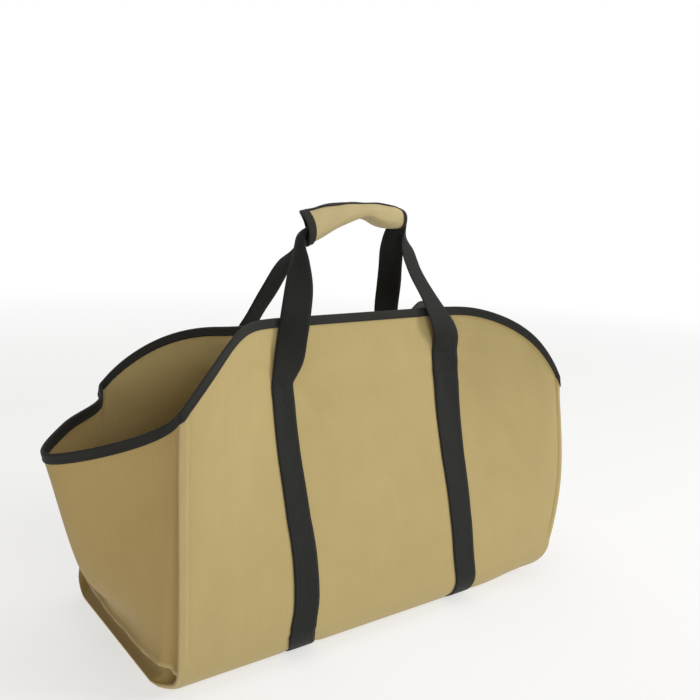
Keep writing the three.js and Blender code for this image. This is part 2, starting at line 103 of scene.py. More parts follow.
# %% A wire between nodes
class Wire:
    """A socket in a node tree. Arithmetic with numbers or other wires adds Math nodes."""

    def __init__(self, tree, socket=None):
        self.tree = tree
        self.socket = socket

    def add(self, kind, settings=None, inputs=None, out=0):
        """A new node: its settings first, then its sockets. Gives the wire of one output."""
        node = self.tree.nodes.new(kind)
        for name, value in (settings or {}).items():
            setattr(node, name, value)
        for name, value in (inputs or {}).items():
            if isinstance(value, Wire):
                self.tree.links.new(value.socket, node.inputs[name])
            else:
                node.inputs[name].default_value = value
        return Wire(self.tree, node.outputs[out] if len(node.outputs) else None)

    def math(self, operation, *values):
        """A Math node on this wire and the other values."""
        return self.add("ShaderNodeMath", {"operation": operation}, dict(enumerate((self, *values))))

    def clamped(self):
        """This value held between 0 and 1."""
        return self.add("ShaderNodeClamp", {}, {"Value": self})

    def __add__(self, other):
        return self.math("ADD", other)

    def __sub__(self, other):
        return self.math("SUBTRACT", other)

    def __rsub__(self, other):
        return self.math("MULTIPLY", -1.0).math("ADD", other)

    def __mul__(self, other):
        return self.math("MULTIPLY", other)

    __radd__ = __add__
    __rmul__ = __mul__


print("a wire's own methods:", ", ".join(name for name in vars(Wire) if not name.startswith("_")))

# %% Helpers for every finish
MIX_FIRST = 6
MIX_SECOND = 7
MIX_RESULT = 2


def new_finish(name):
    """An empty material and a first wire into its tree."""
    material = bpy.data.materials.new(name)
    material.use_nodes = True
    material.node_tree.nodes.clear()
    return material, Wire(material.node_tree)


def close_finish(desk, sockets):
    """A Principled shader with these sockets, wired to the material's output."""
    shader = desk.add("ShaderNodeBsdfPrincipled", {}, sockets)
    desk.add("ShaderNodeOutputMaterial", {}, {"Surface": shader})


def cloth_axes(desk):
    """The piece's own cloth from its UV map, and the metres along and across it."""
    cloth = desk.add("ShaderNodeUVMap", {"uv_map": "cloth"})
    along = desk.add("ShaderNodeSeparateXYZ", {}, {"Vector": cloth}, "X")
    across = desk.add("ShaderNodeSeparateXYZ", {}, {"Vector": cloth}, "Y")
    return cloth, along, across


def sine_of(place, length):
    """A sine of the place that repeats after each length."""
    return (place * (2 * np.pi / length)).math("SINE")


def stretched_noise(desk, vector, stretch, detail=2.0):
    """Noise from 0 to 1 with so many spots a metre along each axis."""
    place = desk.add("ShaderNodeVectorMath", {"operation": "MULTIPLY"}, {0: vector, 1: stretch})
    return desk.add("ShaderNodeTexNoise", {}, {"Vector": place, "Scale": 1.0, "Detail": detail})


def mixed_colour(desk, factor, first, second):
    """A colour between two, by a factor from 0 to 1, through the Mix node's colour sockets."""
    inputs = {0: factor, MIX_FIRST: first, MIX_SECOND: second}
    return desk.add("ShaderNodeMix", {"data_type": "RGBA"}, inputs, MIX_RESULT)


def bump_of(desk, height, strength, distance):
    """The normal of a surface raised by a height."""
    return desk.add("ShaderNodeBump", {}, {"Strength": strength, "Distance": distance, "Height": height})


def read_mark(desk, name):
    """An amount that a piece carries at its points."""
    return desk.add("ShaderNodeAttribute", {"attribute_name": name}, {}, "Fac")


print("colours are mixed through sockets", MIX_FIRST, "and", MIX_SECOND)

# %% [markdown]
# ## Khaki canvas
# Close woven canvas is matt. What the eye reads is a fine checker of threads, thicker threads here and there
# that draw faint streaks, and broad patches that are a shade lighter or darker from handling. An image
# texture could hold that, but sums of sines and noise on the cloth's own coordinates follow every seam and
# never repeat.

# %% Canvas finish
PANEL_CANVAS = ((0.392, 0.298, 0.119, 1), (0.493, 0.386, 0.165, 1))
# Painted shade: the end panels get a browner, more saturated copy of the panel's canvas, as they face away
# from the key lamp.
END_CANVAS = ((0.395, 0.281, 0.104, 1), (0.497, 0.364, 0.144, 1))
GRIP_CANVAS = ((0.431, 0.348, 0.167, 1), (0.537, 0.44, 0.233, 1))
# Painted shade: the dark brown that the hollow strip under the end panels' low seam is mixed towards.
RECESS_SHADE_COLOUR = (0.215, 0.138, 0.028, 1)
# Painted highlight, with some rubbed wear: the light colour that the folds and the seam ridge are mixed
# towards.
WEAR_HIGHLIGHT_COLOUR = (0.64, 0.53, 0.29, 1)
CANVAS_THREAD = 0.0016
LONG_STREAKS = (14, 900, 1)
CROSS_STREAKS = (900, 14, 1)
BROAD_PATCHES = (7, 7, 1)
SMALL_CREASES = (32, 24, 1)


def canvas_finish(name, dark, light):
    """Canvas: checker of threads, streaks from thick threads, broad patches, matt with a faint sheen."""
    material, desk = new_finish(name)
    cloth, along, across = cloth_axes(desk)
    checker = sine_of(along, CANVAS_THREAD) * sine_of(across, CANVAS_THREAD)
    warp = stretched_noise(desk, cloth, LONG_STREAKS)
    weft = stretched_noise(desk, cloth, CROSS_STREAKS)
    patches = stretched_noise(desk, cloth, BROAD_PATCHES, 4.0)
    creases = stretched_noise(desk, cloth, SMALL_CREASES, 3.0)
    shade = patches * 0.75 + warp * 0.4 + weft * 0.4 + checker * 0.1 + creases * 0.2 - 0.38
    colour = mixed_colour(desk, shade.clamped(), dark, light)
    # Painted shade: the end panels' hollow strip under the low seam is darkened, as it lies in shade.
    colour = mixed_colour(desk, read_mark(desk, "grime") * 0.75, colour, RECESS_SHADE_COLOUR)
    # Painted highlight, with some rubbed wear: the body's folded corners and the end panels' seam ridge are
    # lightened, broken up by the creases.
    worn = read_mark(desk, "worn") * (creases + 0.2)
    colour = mixed_colour(desk, worn.clamped(), colour, WEAR_HIGHLIGHT_COLOUR)
    relief = checker * 0.12 + warp * 0.25 + weft * 0.25 + creases * 0.5
    close_finish(desk, {
        "Base Color": colour, "Roughness": 0.74 + 0.2 * patches,
        "Normal": bump_of(desk, relief, strength=0.35, distance=0.0012),
        "Specular IOR Level": 0.3, "Sheen Weight": 0.12, "Sheen Roughness": 0.45,
    })
    return material


canvas = canvas_finish("khaki_canvas", *PANEL_CANVAS)
# The end panels' canvas carries painted shade in its browner colour.
end_canvas = canvas_finish("end_khaki_painted_shade", *END_CANVAS)
grip_canvas = canvas_finish("pale_grip_canvas", *GRIP_CANVAS)
print("canvas nodes:", len(canvas.node_tree.nodes))

# %% [markdown]
# ## Black tape, webbing and thread
# The binding is a thin ribbed tape with its ribs across it. The strap webbing is thicker: cords run along
# it, and a fine weft crosses them. Thread is plain, with a slight twist. The tape and the webbing are a
# black that has greyed a little where it rubs.

# %% Tape, webbing and thread finishes
TAPE_BLACK = ((0.0105, 0.0105, 0.009, 1), (0.042, 0.042, 0.036, 1))
TAPE_RIB = 0.0014
WEBBING_BLACK = ((0.008, 0.0083, 0.0073, 1), (0.026, 0.027, 0.0235, 1))
WEBBING_CORD = 0.0021
WEBBING_WEFT = 0.0013
GREYED_PATCHES = (18, 60, 1)
FUZZ = (700, 700, 1)
BLACK_THREAD = ((0.013, 0.013, 0.012, 1), (0.034, 0.034, 0.030, 1))
KHAKI_THREAD = ((0.34, 0.26, 0.105, 1), (0.52, 0.41, 0.19, 1))
TWIST_RATE = 5200.0


def black_cloth(name, ribs, dark, light, roughness):
    """A black woven finish: ribs shape its bump and shade, and noise greys it in patches."""
    material, desk = new_finish(name)
    cloth, along, across = cloth_axes(desk)
    relief = ribs(along, across)
    worn = stretched_noise(desk, cloth, GREYED_PATCHES, 4.0)
    fuzz = stretched_noise(desk, cloth, FUZZ)
    shade = worn * 0.6 + fuzz * 0.35 + relief * 0.18 - 0.12
    close_finish(desk, {
        "Base Color": mixed_colour(desk, shade.clamped(), dark, light), "Roughness": roughness + 0.15 * worn,
        "Normal": bump_of(desk, relief * 0.5 + fuzz * 0.35, strength=0.5, distance=0.0006),
        "Specular IOR Level": 0.2, "Sheen Weight": 0.03, "Sheen Roughness": 0.5,
    })
    return material


def tape_ribs(along, across):
    """Ribs across the tape: a sine along it."""
    return sine_of(along, TAPE_RIB)


def webbing_ribs(along, across):
    """Cords along the webbing, crossed by a finer weft: a sine across, and its product with one along."""
    cords = sine_of(across, WEBBING_CORD)
    weft = sine_of(along, WEBBING_WEFT)
    return cords * 0.6 + cords * weft * 0.4


def thread_finish(name, dark, light):
    """Thread: a twist along it shapes its shade and its bump."""
    material, desk = new_finish(name)
    _, along, across = cloth_axes(desk)
    twist = ((along + across) * TWIST_RATE).math("SINE")
    close_finish(desk, {
        "Base Color": mixed_colour(desk, (twist * 0.5 + 0.5).clamped(), dark, light),
        "Roughness": 0.55 + 0.05 * twist, "Normal": bump_of(desk, twist, strength=0.4, distance=0.0002),
    })
    return material


tape = black_cloth("binding_tape", tape_ribs, *TAPE_BLACK, roughness=0.6)
webbing = black_cloth("strap_webbing", webbing_ribs, *WEBBING_BLACK, roughness=0.62)
black_thread = thread_finish("black_thread", *BLACK_THREAD)
khaki_thread = thread_finish("khaki_thread", *KHAKI_THREAD)
print("finishes:", canvas.name, tape.name, webbing.name, black_thread.name, khaki_thread.name)

# %% [markdown]
# ## From arrays to pieces
# Each piece is a grid of points worked out as one array. The helpers below join neighbours into quads, write
# the cloth coordinates as a UV map in metres, and hand the object to the frame. A grid may close in either
# direction; its UV grid then has one more line than its points, so that the pattern runs on across the join.


# %% Mesh helpers
def grid_quads(rows, columns, close_rows, close_columns):
    """Corner indices of every quad, once wrapped for the points and once unwrapped for the UV grid."""
    i = np.arange(rows if close_rows else rows - 1)[:, None]
    j = np.arange(columns if close_columns else columns - 1)[None, :]
    steps = [(0, 0), (0, 1), (1, 1), (1, 0)]
    uv_columns = columns + 1 if close_columns else columns
    points = [(i + a) % rows * columns + (j + b) % columns for a, b in steps]
    cloth = [(i + a) * uv_columns + j + b for a, b in steps]
    return np.stack(points, -1).reshape(-1, 4), np.stack(cloth, -1).reshape(-1, 4)


def lengths_along(points, axis, closed=False):
    """Running length of the grid lines along one axis, in millimetres, starting at 0."""
    if closed:
        points = np.concatenate([points, np.take(points, [0], axis=axis)], axis=axis)
    steps = np.linalg.norm(np.diff(points, axis=axis), axis=-1)
    start = np.zeros_like(np.take(steps, [0], axis=axis))
    return np.concatenate([start, np.cumsum(steps, axis=axis)], axis=axis)


def cloth_uv(points, close_rows=False, close_columns=False):
    """UV grid from running lengths: along the columns' lines for U and along the rows' lines for V."""
    u = lengths_along(points, 0, close_rows)
    v = lengths_along(points, 1, close_columns)
    if close_columns:
        u = np.concatenate([u, u[:, :1]], axis=1)
    if close_rows:
        v = np.concatenate([v, v[:1]], axis=0)
    return np.stack([u, v], axis=-1)


def add_piece(name, points, quads, uv, uv_quads, material):
    """A mesh object from points and quads in millimetres, with its UV map, on the part's one body."""
    mesh = bpy.data.meshes.new(name)
    mesh.from_pydata((points.reshape(-1, 3) * MM).tolist(), [], quads.tolist())
    layer = mesh.uv_layers.new(name="cloth")
    layer.data.foreach_set("uv", (uv.reshape(-1, 2)[uv_quads.ravel()] * MM).astype(np.float32).ravel())
    mesh.shade_smooth()
    mesh.materials.append(material)
    piece = in_scene(name, mesh)
    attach(piece, "root")
    print(f"{name}: {len(quads)} quads")
    return piece


def band_ends(rows, columns, line):
    """Quads over both ends of a band whose columns run over its outer face and back.

    The line is the step of the index from one row to the next.
    """
    j = np.arange(columns // 2 - 1)
    last = (rows - 1) * line
    first_end = np.stack([j + 1, j, columns - 1 - j, columns - 2 - j], axis=-1)
    last_end = np.stack([j, j + 1, columns - 2 - j, columns - 1 - j], axis=-1) + last
    return np.concatenate([first_end, last_end])


def grid_piece(name, points, material, close_rows=False, close_columns=False):
    """A piece from one grid of points, closed along rows or columns where asked."""
    rows, columns = points.shape[:2]
    quads, uv_quads = grid_quads(rows, columns, close_rows, close_columns)
    uv = cloth_uv(points, close_rows, close_columns)
    if close_columns and not close_rows:
        quads = np.concatenate([quads, band_ends(rows, columns, columns)])
        uv_quads = np.concatenate([uv_quads, band_ends(rows, columns, columns + 1)])
    return add_piece(name, points, quads, uv, uv_quads, material)


def mark(piece, name, values):
    """An amount at every point of a piece, for its finish to read."""
    layer = piece.data.attributes.new(name, "FLOAT", "POINT")
    layer.data.foreach_set("value", values.astype(np.float32).ravel())


print("quads round a band of 2 rows and 8 columns:", len(grid_quads(2, 8, False, True)[0]))

# %% Number helpers
QUARTER = np.radians(90)


def unit(vectors):
    """The vectors scaled to length 1."""
    return vectors / np.maximum(np.linalg.norm(vectors, axis=-1, keepdims=True), 1e-9)


def smooth(value):
    """An easy step from 0 to 1: three squares less two cubes of the clamped value."""
    value = np.clip(value, 0, 1)
    return value * value * (3 - 2 * value)


def bell(value, width):
    """A bell of height 1: e to the minus square of the value in widths."""
    return np.exp(-((value / width) ** 2))


def by_end(sizes, x):
    """The left or the right one of two sizes, by the sign of x."""
    return np.where(x < 0, sizes["left"], sizes["right"])


def chain(*stretches):
    """Even places on stretches that follow each other, each a start, an end and a count with both ends."""
    first, *others = (np.linspace(*stretch) for stretch in stretches)
    return np.concatenate([first, *(places[1:] for places in others)])


print("a chain of two stretches:", chain((0, 1, 3), (1, 3, 3)).tolist())

# %% [markdown]
# ## The form of the bag
# The bag's section goes down the front wall, round a rounded foot, under the base and up the back wall. One
# number s runs along it: 3 is the rim, 2 the lower end of a wall, 1 the edge of the flat base, 0 its middle,
# negative in front and positive behind. Along the length the rim falls in a rounded shoulder at each end,
# the mouth is narrow between the handles and wide at the corners, and the ends lean and bulge a little, as
# filled cloth does.

# %% Sizes of the bag, in millimetres
HALF_LENGTH = 300
DEPTH = 304
RIM_HEIGHT = 404
SHOULDER_START = 158
SHOULDER_POWER = {"left": 2.1, "right": 2.4}
CORNER_DROP = {"left": 78, "right": 104}
BACK_SAG = 24
BACK_SAG_END = 225
BACK_SAG_RUN = 75
MOUTH_SHIFT = -14
MOUTH_HALF_MIDDLE = 47
MOUTH_HALF_CORNER = 125
MOUTH_FLARE_START = 129
WALL_EASE = 0.47
FOOT_RADIUS = 41
FOOT_RADIUS_BACK_LEFT = 28
FOOT_RADIUS_RIGHT = 54
FOOT_CHANGE_START = 170
FOOT_CHANGE_RUN = 110


def rim_height(x, side):
    """Level top edge less a power of the way into the shoulder, and a sag behind, ending on the right."""
    share = np.clip((np.abs(x) - SHOULDER_START) / (HALF_LENGTH - SHOULDER_START), 0, 1)
    sag = np.where(side > 0, BACK_SAG * smooth((BACK_SAG_END - x) / BACK_SAG_RUN), 0)
    return RIM_HEIGHT - by_end(CORNER_DROP, x) * share ** by_end(SHOULDER_POWER, x) - sag


def mouth_half(x):
    """Half the mouth's width: narrow between the handles, easing out to the corners."""
    share = (np.abs(x) - MOUTH_FLARE_START) / (HALF_LENGTH - MOUTH_FLARE_START)
    return MOUTH_HALF_MIDDLE + (MOUTH_HALF_CORNER - MOUTH_HALF_MIDDLE) * smooth(share)


def foot_radius(x, side):
    """Radius between wall and base: wider to the right, tighter at the back left."""
    left = (FOOT_RADIUS_BACK_LEFT - FOOT_RADIUS) * smooth((-x - FOOT_CHANGE_START) / FOOT_CHANGE_RUN)
    right = (FOOT_RADIUS_RIGHT - FOOT_RADIUS) * smooth((x - FOOT_CHANGE_START) / FOOT_CHANGE_RUN)
    return FOOT_RADIUS + np.where(side > 0, left, 0) + right


def foot_turn(step):
    """Turn of the foot round from the wall to the base: none above step 2, a quarter below step 1."""
    return QUARTER * np.clip(2 - step, 0, 1)


print("rim at the front corners:", [float(rim_height(x, -1)) for x in (-HALF_LENGTH, HALF_LENGTH)], "mm")

# %% Push of the ends, and the bag's outer face
CORNER_LEAN_LEFT = 8
BASE_BELLY_LEFT = 13
BELLY_START = -134
BELLY_RUN = 34
LEFT_SHIFT_START = 150
LEFT_SHIFT_RUN = 110
CORNER_REACH_RIGHT = 9
SIDE_BULGE_RIGHT = 18
BULGE_AT_FOOT = 0.12
BASE_TUCK_RIGHT = 4
BASE_TUCK_POWER = 6
FOOT_TUCK_RIGHT = 24
RIGHT_SHIFT_START = 190
RIGHT_SHIFT_RUN = 70
GAP = 0.3
WEBBING = 1.6
STRAP_X = 130
STRAP_WIDTH = 37
STRAP_BED = GAP + WEBBING
BED_EDGE = 3.5
BED_RAMP = 7.5
LENGTH_STEP = 0.5
SECTION_STEP = 0.004


def end_shift(x, y, step):
    """Push along X: a lean to the rim and a low belly on the left, a bulge and tucked foot at the right."""
    height = np.clip(step - 2, 0, 1)
    bulge = SIDE_BULGE_RIGHT * np.sin(np.pi * (BULGE_AT_FOOT + (1 - BULGE_AT_FOOT) * height))
    tuck = BASE_TUCK_RIGHT * (1 - height) ** BASE_TUCK_POWER
    tuck = tuck + FOOT_TUCK_RIGHT * (1 - np.cos(foot_turn(step)))
    right = smooth((x - RIGHT_SHIFT_START) / RIGHT_SHIFT_RUN) * (CORNER_REACH_RIGHT * height + bulge - tuck)
    belly = BASE_BELLY_LEFT * (1 - height) * smooth((y - BELLY_START) / BELLY_RUN)
    left = smooth((-x - LEFT_SHIFT_START) / LEFT_SHIFT_RUN) * (CORNER_LEAN_LEFT * height - belly)
    return np.where(x > 0, right, left)


def strap_bed(x):
    """Height of the shallow bed in the base that a strap lies in."""
    off = np.abs(np.abs(x) - STRAP_X) - STRAP_WIDTH / 2 - BED_EDGE
    return STRAP_BED * (1 - np.clip(off / BED_RAMP, 0, 1))


def bag_skin(x, s):
    """The bag's outer face at x and s without its curled ends: wall, quarter-round foot or flat base."""
    x, s = np.broadcast_arrays(np.asarray(x, float), np.asarray(s, float))
    side = np.where(s < 0, -1.0, 1.0)
    step = np.abs(s)
    radius = foot_radius(x, side)
    height = np.clip(step - 2, 0, 1)
    turn = foot_turn(step)
    lean = height - WALL_EASE * np.sin(2 * np.pi * height) / (2 * np.pi)
    rim_y = MOUTH_SHIFT + side * mouth_half(x)
    wall_y = side * DEPTH / 2 * (1 - lean) + rim_y * lean
    foot_y = side * (DEPTH / 2 - radius + radius * np.cos(turn))
    base_y = side * (DEPTH / 2 - radius) * step
    y = np.where(step >= 2, wall_y, np.where(step >= 1, foot_y, base_y))
    wall_z = radius + height * (rim_height(x, side) - radius)
    foot_z = radius - radius * np.sin(turn) + strap_bed(x) * np.sin(turn)
    z = np.where(step >= 2, wall_z, foot_z)
    return np.stack([x + end_shift(x, y, step), y, z], axis=-1)


def skin_normal(x, s):
    """Outward direction: the cross product of small steps along s and along x."""
    along = bag_skin(x + LENGTH_STEP, s) - bag_skin(x - LENGTH_STEP, s)
    down = bag_skin(x, s + SECTION_STEP) - bag_skin(x, s - SECTION_STEP)
    return unit(np.cross(down, along))


middle = bag_skin(0, np.array([-3, -2, 0, 2, 3]))
print("section at mid length:", middle[:, 1:].round(1).tolist())

# %% [markdown]
# ## Soft unevenness
# Sewn cloth is never true. Long low waves cross the walls, short pulled lines fan out under the sewn ends of
# the straps, and the folded edge at each corner is pinched by its seam into a narrow ridge. These are small
# heights added along the outward direction, and they fade out under the tape and at the foot.

# %% Relief of the walls
WAVE_HEIGHT = 1.3
LONG_WAVES = {"lengths": (47, 173), "climbs": (2.2, 4.1), "phase": 1.1}
SHORT_WAVES = {"lengths": (23, 61), "climbs": (-1.7, 2.6), "phase": 1.0}
SHORT_SHARE = 0.6
FOOT_FADE = 0.2
RIM_FADE = 0.14
SEWN_END = 0.81
PULL_HEIGHT = 1.6
PULL_COUNT = 6
PULL_PHASE = 0.8
PULL_START = 14
PULL_RUN = 16
PULL_REACH = 38
PINCH_HEIGHT = 0.9
PINCH_WIDTH = 3.2
PINCH_PLACE = 6.5
STITCH_DIP = {"left": 0.5, "right": 1.8}
STITCH_DIP_WIDTH = 1.3
STITCH_PLACE = 11.5
PINCH_RIM_FADE = 0.05
PINCH_FOOT_FADE = 0.08


def crossed_waves(x, height, side, lengths, climbs, phase):
    """The product of two sines, each with a length along x and a climb with the height."""
    first = np.sin(x / lengths[0] + phase * side + climbs[0] * height)
    return first * np.sin(climbs[1] * height + x / lengths[1])


def pulled_lines(x, height):
    """Lines that fan out round a sewn strap end: a cosine of the angle, fading with the distance."""
    off_x = np.abs(np.abs(x) - STRAP_X)
    off_z = (height - SEWN_END) * (RIM_HEIGHT - FOOT_RADIUS)
    far = np.hypot(off_x, off_z)
    fan = np.cos(PULL_COUNT * np.arctan2(off_z, off_x) + PULL_PHASE)
    return fan * smooth((far - PULL_START) / PULL_RUN) * np.exp(-far / PULL_REACH)


def wall_relief(x, s):
    """Waves, pulled lines and pinched edges of the walls: a height in millimetres, outwards."""
    side = np.where(s < 0, -1.0, 1.0)
    height = np.clip(np.abs(s) - 2, 0, 1)
    waves = crossed_waves(x, height, side, **LONG_WAVES)
    waves = waves + SHORT_SHARE * crossed_waves(x, height, side, **SHORT_WAVES)
    fade = smooth(height / FOOT_FADE) * smooth((1 - height) / RIM_FADE)
    edge = HALF_LENGTH - np.abs(x)
    pinch = PINCH_HEIGHT * bell(edge - PINCH_PLACE, PINCH_WIDTH)
    groove = by_end(STITCH_DIP, x) * bell(edge - STITCH_PLACE, STITCH_DIP_WIDTH)
    seam = (pinch - groove) * smooth((1 - height) / PINCH_RIM_FADE) * smooth(height / PINCH_FOOT_FADE)
    return (WAVE_HEIGHT * waves + PULL_HEIGHT * pulled_lines(x, height)) * fade + seam


probe = wall_relief(np.linspace(-HALF_LENGTH, HALF_LENGTH, 400)[:, None], np.linspace(-3, -2, 200)[None, :])
print(f"wall relief from {probe.min():.2f} to {probe.max():.2f} mm")

# %% [markdown]
# ## The body panel
# One length of canvas makes the front, the base and the back. A flat plate with a Bend modifier could give
# the outline, but not the shoulders, the curled ends and the folds together. So the panel is the formula
# above, curled round at both ends, on a grid that is close where the cloth turns. Solidify gives it the
# thickness of canvas, inwards.

# %% Curled ends
CURL_BASE = 7
CURL_WALL = 4
CORNER_FALL = {"left": 6.2, "right": 8}
CORNER_FALL_POWER = 3
SCALED_FROM = 250
FLAT_END = 283


def end_scale(radius):
    """Stretch of the last length of cloth, so that a curl of any radius ends at the same place."""
    return (HALF_LENGTH - radius - SCALED_FROM) / (FLAT_END - SCALED_FROM)


def bag_cloth(distance, turn, s):
    """Point and outward direction of the body panel: the skin plus its relief, curled round at both ends.

    distance runs along the length up to the curl, turn is the angle round the curl, and s runs along the
    section. The curl steps out by radius times sine and in by radius times one less cosine. Round it the
    rim falls on evenly.
    """
    distance, turn, s = np.broadcast_arrays(distance, turn, s)
    sign = np.sign(distance)
    radius = CURL_WALL + (CURL_BASE - CURL_WALL) * smooth(2 - np.abs(s))
    beyond = SCALED_FROM + (np.abs(distance) - SCALED_FROM) * end_scale(radius)
    x = np.where(np.abs(distance) > SCALED_FROM, sign * beyond, distance)
    out = skin_normal(x, s)
    end = np.stack([sign, np.zeros_like(sign), np.zeros_like(sign)], axis=-1)
    sine = np.sin(turn)[..., None]
    cosine = np.cos(turn)[..., None]
    normal = unit(out * cosine + end * sine)
    point = bag_skin(x, s) + radius[..., None] * (end * sine - out * (1 - cosine))
    fall = by_end(CORNER_FALL, sign) * turn / QUARTER
    point[..., 2] -= fall * np.clip(np.abs(s) - 2, 0, 1) ** CORNER_FALL_POWER
    return point + normal * (wall_relief(x, s) * np.cos(turn))[..., None], normal


print("end of the curl at the base:", bag_cloth(FLAT_END, QUARTER, -1)[0].round(1).tolist(), "mm")

# %% Body panel
CLOTH = 1.5
FLAT_COLUMNS = 74
EDGE_COLUMNS = 28
CURL_STEPS = np.radians(np.linspace(11.25, 90, 8))
# Painted highlight, with some rubbed wear, where the curl turns round the folded corner.
CORNER_WEAR_HIGHLIGHT = 0.8
WEAR_HIGHLIGHT_TURN = np.radians(40)
WEAR_HIGHLIGHT_TURN_WIDTH = np.radians(28)


def mirrored(half, sign=-1):
    """The values backwards without the first and times the sign, then forwards."""
    return np.concatenate([sign * half[:0:-1], half])


def panel_columns():
    """Distances along the panel and turns round its two curled ends, from left to right."""
    edge = np.linspace(SCALED_FROM + 1, FLAT_END, EDGE_COLUMNS)
    flat = np.concatenate([np.linspace(0, SCALED_FROM, FLAT_COLUMNS), edge])
    half = np.concatenate([flat, np.full(len(CURL_STEPS), FLAT_END)])
    turns = np.concatenate([np.zeros(len(flat)), CURL_STEPS])
    return mirrored(half), mirrored(turns, 1)


def panel_rows():
    """Places along the section, closest in the rounded foot."""
    return mirrored(chain((0, 1, 10), (1, 2, 13), (2, 3, 72)))


def thicken(piece, thickness):
    """Solidify towards the inside."""
    solid = piece.modifiers.new("cloth_thickness", "SOLIDIFY")
    solid.thickness = thickness * MM
    solid.offset = -1
    return piece


def body_panel():
    """The body panel: columns along the length, rows along the section, one cloth thick, a painted highlight
    with some rubbed wear on its folds.
    """
    distances, turns = panel_columns()
    points, _ = bag_cloth(distances[:, None], turns[:, None], panel_rows()[None, :])
    piece = grid_piece("body_canvas", points, canvas)
    # Painted highlight along the folded corners.
    worn = CORNER_WEAR_HIGHLIGHT * bell(turns - WEAR_HIGHLIGHT_TURN, WEAR_HIGHLIGHT_TURN_WIDTH)[:, None]
    mark(piece, "worn", worn * np.ones(points.shape[:2]))
    return thicken(piece, CLOTH)


body = body_panel()
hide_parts("body_panel")

# %% [markdown]
# ## The end panels
# Each end is its own piece of canvas, sewn in along the curled edge of the body. Towards the rim it swells
# out into a spout and its edge dips in the middle; low down it is drawn back to the base. The panel is
# blended between the front and back edges of the body, then pushed out by a power of the height times a
# squared cosine across, which is fuller at the back of the left end.

# %% Seam and folds of an end panel
SEAM_HEIGHT = 39
SEAM_SINK = 8
SEAM_SINK_START = 0.82
SEAM_SINK_RUN = 0.13
SEAM_RIDGE = 4
SEAM_RIDGE_WIDTH = 2.6
STRIP_DIP = 6
SEAM_END_FADE = 0.07
FOLD_VALLEY = 5
FOLD_VALLEY_AT = 0.1
VALLEY_RIM_FADE = 0.25
END_FOLD = 1.8
END_FOLD_RATE = 9
END_FOLD_SLANT = 3.5
FOLD_FADE = 0.15


def seam_height(across):
    """Height of the low seam: level, and sinking close to the front corner."""
    return SEAM_HEIGHT - SEAM_SINK * smooth((-SEAM_SINK_START - across) / SEAM_SINK_RUN)


def seam_relief(height, across):
    """Ridge along the low seam and hollow strip under it: a bell, and half a sine of the height."""
    seam = seam_height(across)
    ridge = SEAM_RIDGE * bell(height - seam, SEAM_RIDGE_WIDTH)
    strip = STRIP_DIP * np.sin(np.pi * np.clip((height - CURL_BASE) / (seam - CURL_BASE), 0, 1))
    return (ridge - strip) * smooth((1 - np.abs(across)) / SEAM_END_FADE)


def fold_relief(share, across):
    """Valley beside each folded corner and slow folds between: distance times its decay, and two sines."""
    near = (1 - np.abs(across)) / FOLD_VALLEY_AT
    valley = FOLD_VALLEY * near * np.exp(1 - near)
    valley = valley * smooth((1 - share) / VALLEY_RIM_FADE) * smooth(share / FOLD_FADE)
    folds = END_FOLD * np.sin(END_FOLD_RATE * across + END_FOLD_SLANT * share) * np.sin(np.pi * share)
    return folds * (1 - across**2) * smooth((1 - share) / FOLD_FADE) - valley


print("low seam in front and behind:", [float(seam_height(across)) for across in (-1, 1)], "mm")

# %% End panels
END_ROWS = chain((3, 2.12, 54), (2.12, 2, 18), (2, 1, 34))
END_COLUMNS = np.linspace(-1, 1, 100)
SPOUT_REACH = {"left": 106, "right": 89.1}
SPOUT_GROWTH = 0.72
SPOUT_START = 0.16
SPOUT_FOOT = 0.11
SPOUT_FULL_BACK = 0.8
SPOUT_FULL_EASE = 0.45
SPOUT_DIP = 49
SPOUT_DIP_POWER = 0.375
BELLY_QUICKER = 3
BELLY_QUICKER_RISE = 25
ACROSS_STEP = 0.01
# Painted shade fills the strip below the low seam, fading in over a short run.
RECESS_SHADE_TOP = -1
RECESS_SHADE_RUN = 3
# Painted highlight, with some rubbed wear, along the seam ridge of an end panel.
SEAM_WEAR_HIGHLIGHT = 0.9
SEAM_WEAR_HIGHLIGHT_AT = 0.5
SEAM_WEAR_HIGHLIGHT_WIDTH = 2


def end_edges(sign, step):
    """Front and back edge of an end panel, just inside the corners of the body."""
    inset = np.array([0, GAP, 0])
    front, back = (bag_cloth(sign * FLAT_END, QUARTER, side * step)[0] for side in (-1, 1))
    return front + inset, back - inset


